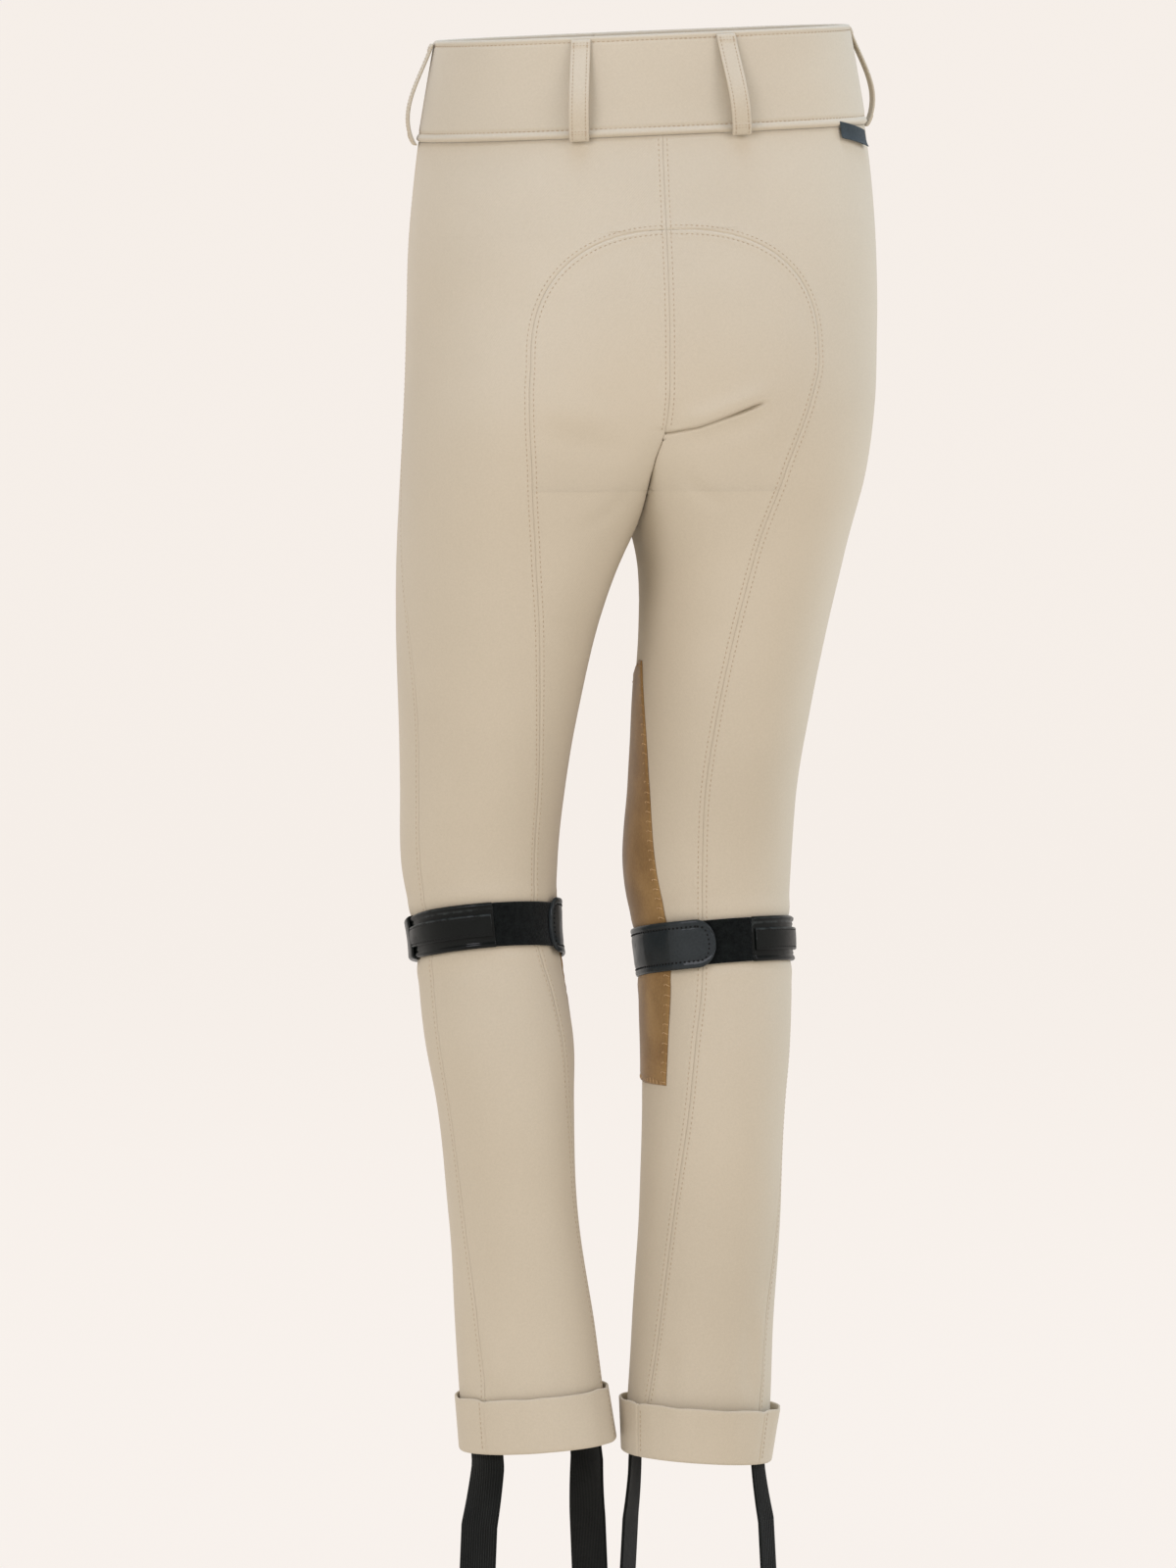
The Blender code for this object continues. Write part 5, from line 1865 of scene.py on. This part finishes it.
@dataclass(eq=False)
class Garters:
    """Leather garter below each knee: band, raised strap, keeper, pile and the tab that closes on it."""

    leather: float = 2.0
    pile: float = 1.6
    strap_wall: float = 1.5
    strap_half: float = 6.2
    strap_row: float = 4.6
    keeper_half: float = 13.8
    keeper_back: float = 19.0
    tab_round: float = 0.1
    tab_row: float = 3.9
    tab_tip: float = 0.085
    bead: float = 1.5
    least_cut: float = 10.5

    def band_face(self, across: float) -> float:
        """Relief of the band: a rounded bead at each edge, a groove inside it, and a pressed channel."""
        edge = GARTERS[LEFT].half - abs(across)
        swell = sqrt(max(1 - ((edge - self.bead) / self.bead) ** 2, 0.0))
        return 0.55 * swell - 0.4 * bell(edge - 2 * self.bead - 0.3, 0.5) - 0.3 * bell(abs(across) - 6.6, 0.7)

    def tab_face(self, half: float, across: float) -> float:
        """Relief of a tab: a rolled rim, a sunk row of stitches, a padded middle."""
        edge = half - abs(across)
        return 0.3 * bell(edge - 2.0, 1.1) - 0.3 * bell(edge - self.tab_row, 0.6) + 0.3 * ease(edge, 4.2, 7.5)

    def strap_face(self, across: float) -> float:
        """Relief of the raised strap: a line pressed along each edge."""
        return 0.25 * (1 - (across / self.strap_half) ** 2) - 0.3 * bell(abs(across) - self.strap_row, 0.45)

    def wrap(self, name: str, side: Side, span: tuple[float, float], half: float, wall: float,
             face: Relief | None, material: Material, over: float = 0.0,
             rounded: float = 0.0, fuzz: float = 0.0, step: float = 0.8) -> Place:
        """Strip along the garter.

        Args:
            name: the construction's node, without its side.
            side: the wearer's side.
            span: angles of its two ends.
            half: half its width.
            wall: its thickness.
            face: relief of its outer face.
            material: its material.
            over: how far its inner face is from the garter's inner face.
            rounded: share of its length over which its first end is rounded.
            fuzz: height of the unevenness of its face, which only the pile has.
            step: spacing of its points.

        Returns:
            The function that places a point of it.
        """
        garter = GARTERS[side]

        def place(share: float, across: float, out: float) -> Vector:
            """Point of the strip."""
            angle = mix(*span, share)
            lift = rough = 0.0
            if rounded:
                across *= mix(0.05, 1, sqrt(max(1 - (1 - clamp(share, 0, rounded)) ** 2, 0.0)))
                lift = (self.pile + 0.3) * (1 - ease(share, 0.16, 0.34))
            if fuzz and out > wall * 0.4:
                rough = fuzz * noise.noise(Vector((angle * 0.9, across * 1.3, 2.0 + side.value)))
                rough += 0.6 * fuzz * noise.noise(Vector((angle * 2.1, across * 2.9, 9.0)))
            outward = garter.clearance(side, angle) + over + lift + out + rough
            return FORM.point(side, angle, garter.height(angle, across), outward)

        length = sum((place(k / 40, 0, 0) - place((k + 1) / 40, 0, 0)).length for k in range(40))
        stations = [rounded * (1 - cos(turn)) for turn in quarter_turns(12)]
        stations += spread(rounded, 1, max(step, 1.0) / length)[1:]
        work = sweep(strip_section(half, wall, face, step=step), stations, place, length, wall)
        rests = (f"garter_band_{side.word}_leather" if over else f"front_{side.word}_cloth",)
        wide, long = max(2 * half, self.least_cut), max(length, self.least_cut)
        area = 2 * half * long if wide > 2 * half else None
        self.expose(work, half, side)
        slot, suffix = ("pile", "pile_strip") if fuzz else ("garter_leather", "leather")
        WORKSHOP.add(f"{name}_{side.word}_{suffix}", work, material, slot, f"{name}_{side.word}",
                     cut=Cut(wide, long, Held.LAID if over else Held.STRETCHED, rests, area))
        return place

    @staticmethod
    def expose(work: BMesh, half: float, side: Side) -> None:
        """Mark how exposed to rubbing each point is, from how far it stands at the strip's edges."""
        layer = work.verts.layers.float.new("exposed")
        for vertex in work.verts:
            bend = max((edge.calc_face_angle(0.0) for edge in vertex.link_edges if len(edge.link_faces) == 2),
                       default=0.0)
            level = vertex.co.z / MM - GARTERS[side].level
            vertex[layer] = clamp(bend, 0.15, 0.7) * clamp(abs(level), 0.4 * half, half)

    def build(self) -> None:
        """Build the five pieces of each garter and their stitches."""
        over = self.leather + FORM.gap
        for side in Side:
            garter = GARTERS[side]
            self.wrap("garter_band", side, (garter.pile_end, garter.band_end), garter.half, self.leather,
                      self.band_face, FINISHES.leather)
            self.wrap("garter_pile", side, (garter.tab_end - 12, garter.pile_end + 0.6), garter.half - 0.3,
                      self.pile, None, FINISHES.pile, fuzz=0.45, step=0.6)
            tab = self.wrap("garter_tab", side, (garter.tab_end, garter.band_end - 359.6), garter.tab_half,
                            self.leather, partial(self.tab_face, garter.tab_half), FINISHES.tab_leather,
                            rounded=self.tab_round)
            strap = self.wrap("garter_strap", side, (garter.pile_end + 2, garter.keeper - 12),
                              self.strap_half, self.strap_wall, self.strap_face, FINISHES.leather, over,
                              step=0.6)
            self.keeper(side, over)
            self.stitch(side, tab, strap)

    def keeper(self, side: Side, over: float) -> None:
        """Leather loop across the garter, curled round its edges.

        Args:
            side: the wearer's side.
            over: how far its inner face is from the garter's inner face.
        """
        garter = GARTERS[side]
        start, end = garter.keeper - self.keeper_back, garter.keeper + 6
        half_run = 0.5 * (FORM.point(side, start, garter.level) - FORM.point(side, end, garter.level)).length

        def place(share: float, across: float, out: float) -> Vector:
            """Point of the loop: share runs down it, across runs along the garter."""
            angle = mix(start, end, 0.5 + 0.5 * across / half_run)
            offset = mix(self.keeper_half, -self.keeper_half, share)
            bent = clamp(abs(offset), garter.half - 1.5, self.keeper_half)
            curl = 3.4 * (1 - sqrt(max(1 - bent ** 2, 0.0)))
            outward = garter.clearance(side, angle) + over - 0.3 + out - curl
            return FORM.point(side, angle, garter.height(angle, offset), outward)

        def face(across: float) -> float:
            """Rounded face with a pressed line along each edge."""
            return 0.5 * (1 - (across / half_run) ** 2) - 0.22 * bell(abs(across) - half_run + 1.9, 0.4)

        outline = strip_section(half_run, self.leather, face, step=0.6)
        work = sweep(outline, spread(0, 1, 0.02), place, 2 * self.keeper_half, self.leather)
        self.expose(work, self.keeper_half, side)
        cut = Cut(2 * half_run, 2 * self.keeper_half, Held.FOLDED, (f"garter_band_{side.word}_leather",))
        name = f"garter_keeper_{side.word}"
        WORKSHOP.add(f"{name}_leather", work, FINISHES.leather, "garter_leather", name, cut=cut)

    def stitch(self, side: Side, tab: Place, strap: Place) -> None:
        """Sew round the tab and along the strap.

        Args:
            side: the wearer's side.
            tab: the function that places the tab's points.
            strap: the function that places the strap's points.
        """
        thread = Thread(f"stitches_garter_{side.word}", 1.1, 0.6)
        row, tip, wall = GARTERS[side].tab_half - self.tab_row, self.tab_tip, self.leather
        for sign in (-1, 1):
            thread.sew([facing(tab, share, sign * row, wall) for share in spread(tip, 0.97, 0.01)], 2.6, 1.3)
            line = [facing(strap, share, sign * self.strap_row, self.strap_wall)
                    for share in spread(0.02, 0.98, 0.01)]
            thread.sew(line, 2.4, 1.6, -0.2)
        first, last = (tab(tip, sign * row, wall) for sign in (-1, 1))
        reach = tab(0.035, 0, wall) - tab(tip, 0, wall)
        outward = facing(tab, tip, 0, wall).outward
        bow = [Spot(first.lerp(last, (1 - cos(turn)) / 2) + reach * sin(turn) ** 0.8, outward)
               for turn in (pi * k / 24 for k in range(25))]
        thread.sew(bow, 2.6, 1.3, 0.05)
        thread.finish(FINISHES.black_thread, "garter_leather")


@dataclass(eq=False)
class FootStraps:
    """Elastic loop under each foot, sewn inside the cuff at its outer and inner side."""

    turns: dict[Side, float] = field(default_factory=lambda: {LEFT: 57.0, RIGHT: 68.0})
    width: float = 30.0
    wall: float = 1.6
    clear: float = 1.3
    top: float = -748.0
    bottom: float = -862.0
    corner: float = 16.0
    splay: float = 4.0
    ribs: int = 15

    def face(self, across: float) -> float:
        """Relief of the elastic's lengthwise ribs."""
        return 0.14 * cos(tau * self.ribs * across / self.width)

    def build(self) -> None:
        """Build both loops."""
        for side in Side:
            self.loop(side)

    def loop(self, side: Side) -> None:
        """Build one loop."""
        turn = self.turns[side]
        inside = -FORM.wall - self.clear
        outer, inner = (FORM.point(side, angle, self.top, inside) for angle in (turn, turn - 180))
        run = Vector((inner.x - outer.x, inner.y - outer.y, 0))
        span = run.length
        run.normalize()
        aside = Vector((-run.y, run.x, 0))
        drop = self.top - self.bottom - self.corner
        bend = self.corner * pi / 2
        total = 2 * drop + 2 * bend + span - 2 * self.corner

        def route(distance: float, inset: float) -> tuple[float, float]:
            """Place on the loop as distances along the run and down, moved to its inner side."""
            if distance > total / 2:
                s, z = route(total - distance, inset)
                return span - s, z
            if distance < drop:
                return inset, -distance
            if distance < drop + bend:
                swing = (distance - drop) / self.corner
                reach = self.corner - inset
                return self.corner - reach * cos(swing), -drop - reach * sin(swing)
            return self.corner + distance - drop - bend, -drop - self.corner + inset

        def place(share: float, across: float, out: float) -> Vector:
            """Point of the elastic, which follows the leg at its two ends."""
            distance = share * total
            depth = self.wall - out
            s, z = route(distance, depth)
            s += (2 * s / span - 1) * self.splay * clamp(-z, 0.25 * drop, drop)
            straight = outer + run * s + aside * across + Vector((0, 0, z))
            to_end = min(distance, total - distance)
            if to_end > 0.6 * drop:
                return straight
            near, way = (turn, 1) if distance < total / 2 else (turn - 180, -1)
            swing = degrees(across / FORM.section(side, self.top).half_width) * way
            curved = FORM.point(side, near + side.value * swing, self.top + z, inside - depth)
            return curved.lerp(straight, clamp(to_end, 0.25 * drop, 0.6 * drop))

        low, under = drop / total, (drop + bend) / total
        first = spread(0, low, 3 / total)[:-1] + spread(low, under, 1.2 / total)
        last = [1 - share for share in reversed(first)]
        stations = first + spread(under, 1 - under, 3 / total)[1:-1] + last
        outline = strip_section(self.width / 2, self.wall, self.face, step=0.34)
        work = sweep(outline, stations, place, total, self.wall)
        cut = Cut(self.width, total, Held.STRETCHED, (f"cuff_{side.word}_cloth",))
        name = f"foot_strap_{side.word}"
        WORKSHOP.add(f"{name}_elastic", work, FINISHES.elastic, "elastic", name, cut=cut)


@dataclass(eq=False)
class Label:
    """Small folded ribbon, blank, sewn over the waistband's lower edge at the right of the back."""

    start: float = -51.5
    end: float = -68.0
    top: float = -25.0
    tall: float = 9.5
    slant: float = 6.0
    wall: float = 0.8
    proud: float = 1.3

    def face(self, across: float) -> float:
        """Selvedge ridges near its two long edges."""
        return 0.08 * bell(abs(across) - 4.9, 0.3)

    def build(self) -> None:
        """Build the label."""
        middle = self.top - self.tall / 2
        length = (FORM.hip_point(self.start, middle) - FORM.hip_point(self.end, middle)).length

        def place(share: float, across: float, out: float) -> Vector:
            """Point of the label, which lifts a little at its free lower edge."""
            lift = 0.9 * clamp(-across, 0, self.tall / 2) ** 2 * mix(0.5, 1.3, share)
            return FORM.hip_point(mix(self.start, self.end, share), middle + across - self.slant * share,
                                  self.proud + lift + out)

        outline = strip_section(self.tall / 2, self.wall, self.face, step=0.5)
        work = sweep(outline, spread(0, 1, 0.04), place, length, self.wall)
        cut = Cut(2 * self.tall, length, Held.FOLDED, ("waistband_cloth",), 1.2 * self.tall * length)
        WORKSHOP.add("label_ribbon", work, FINISHES.label, "label", "label", cut=cut)


class Lamp(NamedTuple):
    """Round soft light: its place in metres, power and colour."""

    name: str
    place: tuple[float, float, float]
    power: float
    colour: Colour


@dataclass(eq=False)
class Studio:
    """Camera, plain backdrop and soft light."""

    aim: tuple[float, float, float] = (0.030, -0.004, -0.393)
    distance: float = 7.0
    azimuth: float = 7.5
    elevation: float = 3.87
    lens: float = 286.4
    floor: float = -0.874
    flat: float = 8.5
    rise: float = 3.0
    paper: Colour = linear(245, 238, 232)
    lit: tuple[float, float, float] = (0.0, 0.0, -0.4)
    lamps: tuple[Lamp, ...] = (
        Lamp("high_left", (2.0, 2.4, 1.6), 38.0, (0.94, 0.92, 1.0)),
        Lamp("high_right", (-1.9, 1.9, 1.6), 23.0, (0.95, 0.92, 1.0)),
        Lamp("overhead", (0.1, 0.4, 2.4), 40.0, (0.45, 0.66, 1.0)),
        Lamp("far_right", (-2.6, -1.0, 0.6), 36.0, (0.48, 0.72, 1.0)),
        Lamp("front", (0.6, -3.0, 1.6), 24.0, (0.96, 0.98, 1.0)))

    def build(self) -> None:
        """Set up everything that isn't the garment."""
        self.camera()
        self.backdrop()
        self.lights()

    @staticmethod
    def place(name: str, data: bpy.types.ID, where: Vector, way: Vector) -> bpy.types.Object:
        """Camera or lamp at a place, looking along a way."""
        placed = bpy.data.objects.new(name, data)
        placed.location = where
        placed.rotation_euler = way.to_track_quat("-Z", "Y").to_euler()
        bpy.context.scene.collection.objects.link(placed)
        return placed

    def camera(self) -> None:
        """Camera behind the wearer, a little to their left, at waist height."""
        turn, rise = radians(self.azimuth), radians(self.elevation)
        away = Vector((sin(turn) * cos(rise), cos(turn) * cos(rise), sin(rise)))
        data = bpy.data.cameras.new("camera")
        data.lens = self.lens
        data.clip_end = 50
        bpy.context.scene.camera = self.place("camera", data, Vector(self.aim) + away * self.distance, -away)

    def backdrop(self) -> None:
        """Pale paper: a wide round floor that sweeps up into a wall all round."""
        bends = [(self.flat + self.rise * sin(turn), self.rise - self.rise * cos(turn))
                 for turn in quarter_turns(12)]
        profile = [(0.0, 0.0), *bends, (self.flat + self.rise, 2 * self.rise)]
        work = turned([(x, z + self.floor) for x, z in profile], 64)
        WORKSHOP.show("backdrop", work, self.paper_material())

    def paper_material(self) -> Material:
        """Backdrop that glows evenly, with a little matte paper in it to take soft shadows."""
        material = bpy.data.materials.new("paper")
        material.use_nodes = True
        nodes = Nodes(material.node_tree)
        nodes.feed(nodes.tree.nodes["Principled BSDF"], {
            "Base Color": (0.05, 0.048, 0.046, 1), "Roughness": 1.0, "Specular IOR Level": 0.0,
            "Emission Color": (*self.paper, 1), "Emission Strength": 0.973})
        return material

    def lights(self) -> None:
        """Large soft lights: two high beside the camera, cool ones overhead and far right, one in front."""
        scene = bpy.context.scene
        scene.world = bpy.data.worlds.new("studio")
        scene.world.use_nodes = True
        nodes = Nodes(scene.world.node_tree)
        nodes.feed(nodes.tree.nodes["Background"], {"Color": (*self.paper, 1), "Strength": 0.4})
        for name, place, power, colour in self.lamps:
            data = bpy.data.lights.new(name, "AREA")
            data.shape, data.size = "DISK", 1.6
            data.energy, data.color = power, colour
            lamp = self.place(name, data, Vector(place), Vector(self.lit) - Vector(place))
            lamp.visible_glossy = min(colour) > 0.9
        scene.view_settings.view_transform = "Standard"


def main() -> None:
    """Build the garment's sub-assemblies in the order in which a maker sews them, then the studio."""
    logging.basicConfig(level=logging.INFO, format="%(name)s %(message)s")
    for kind in (Panels, Waistband, BeltLoops, Fly, KneePatches, Cuffs, Garters, FootStraps, Label, Studio):
        kind().build()
        LOG.info("%s built", kind.__name__)
    LOG.info("%d pieces", len(WORKSHOP.made))


if __name__ == "__main__":
    main()
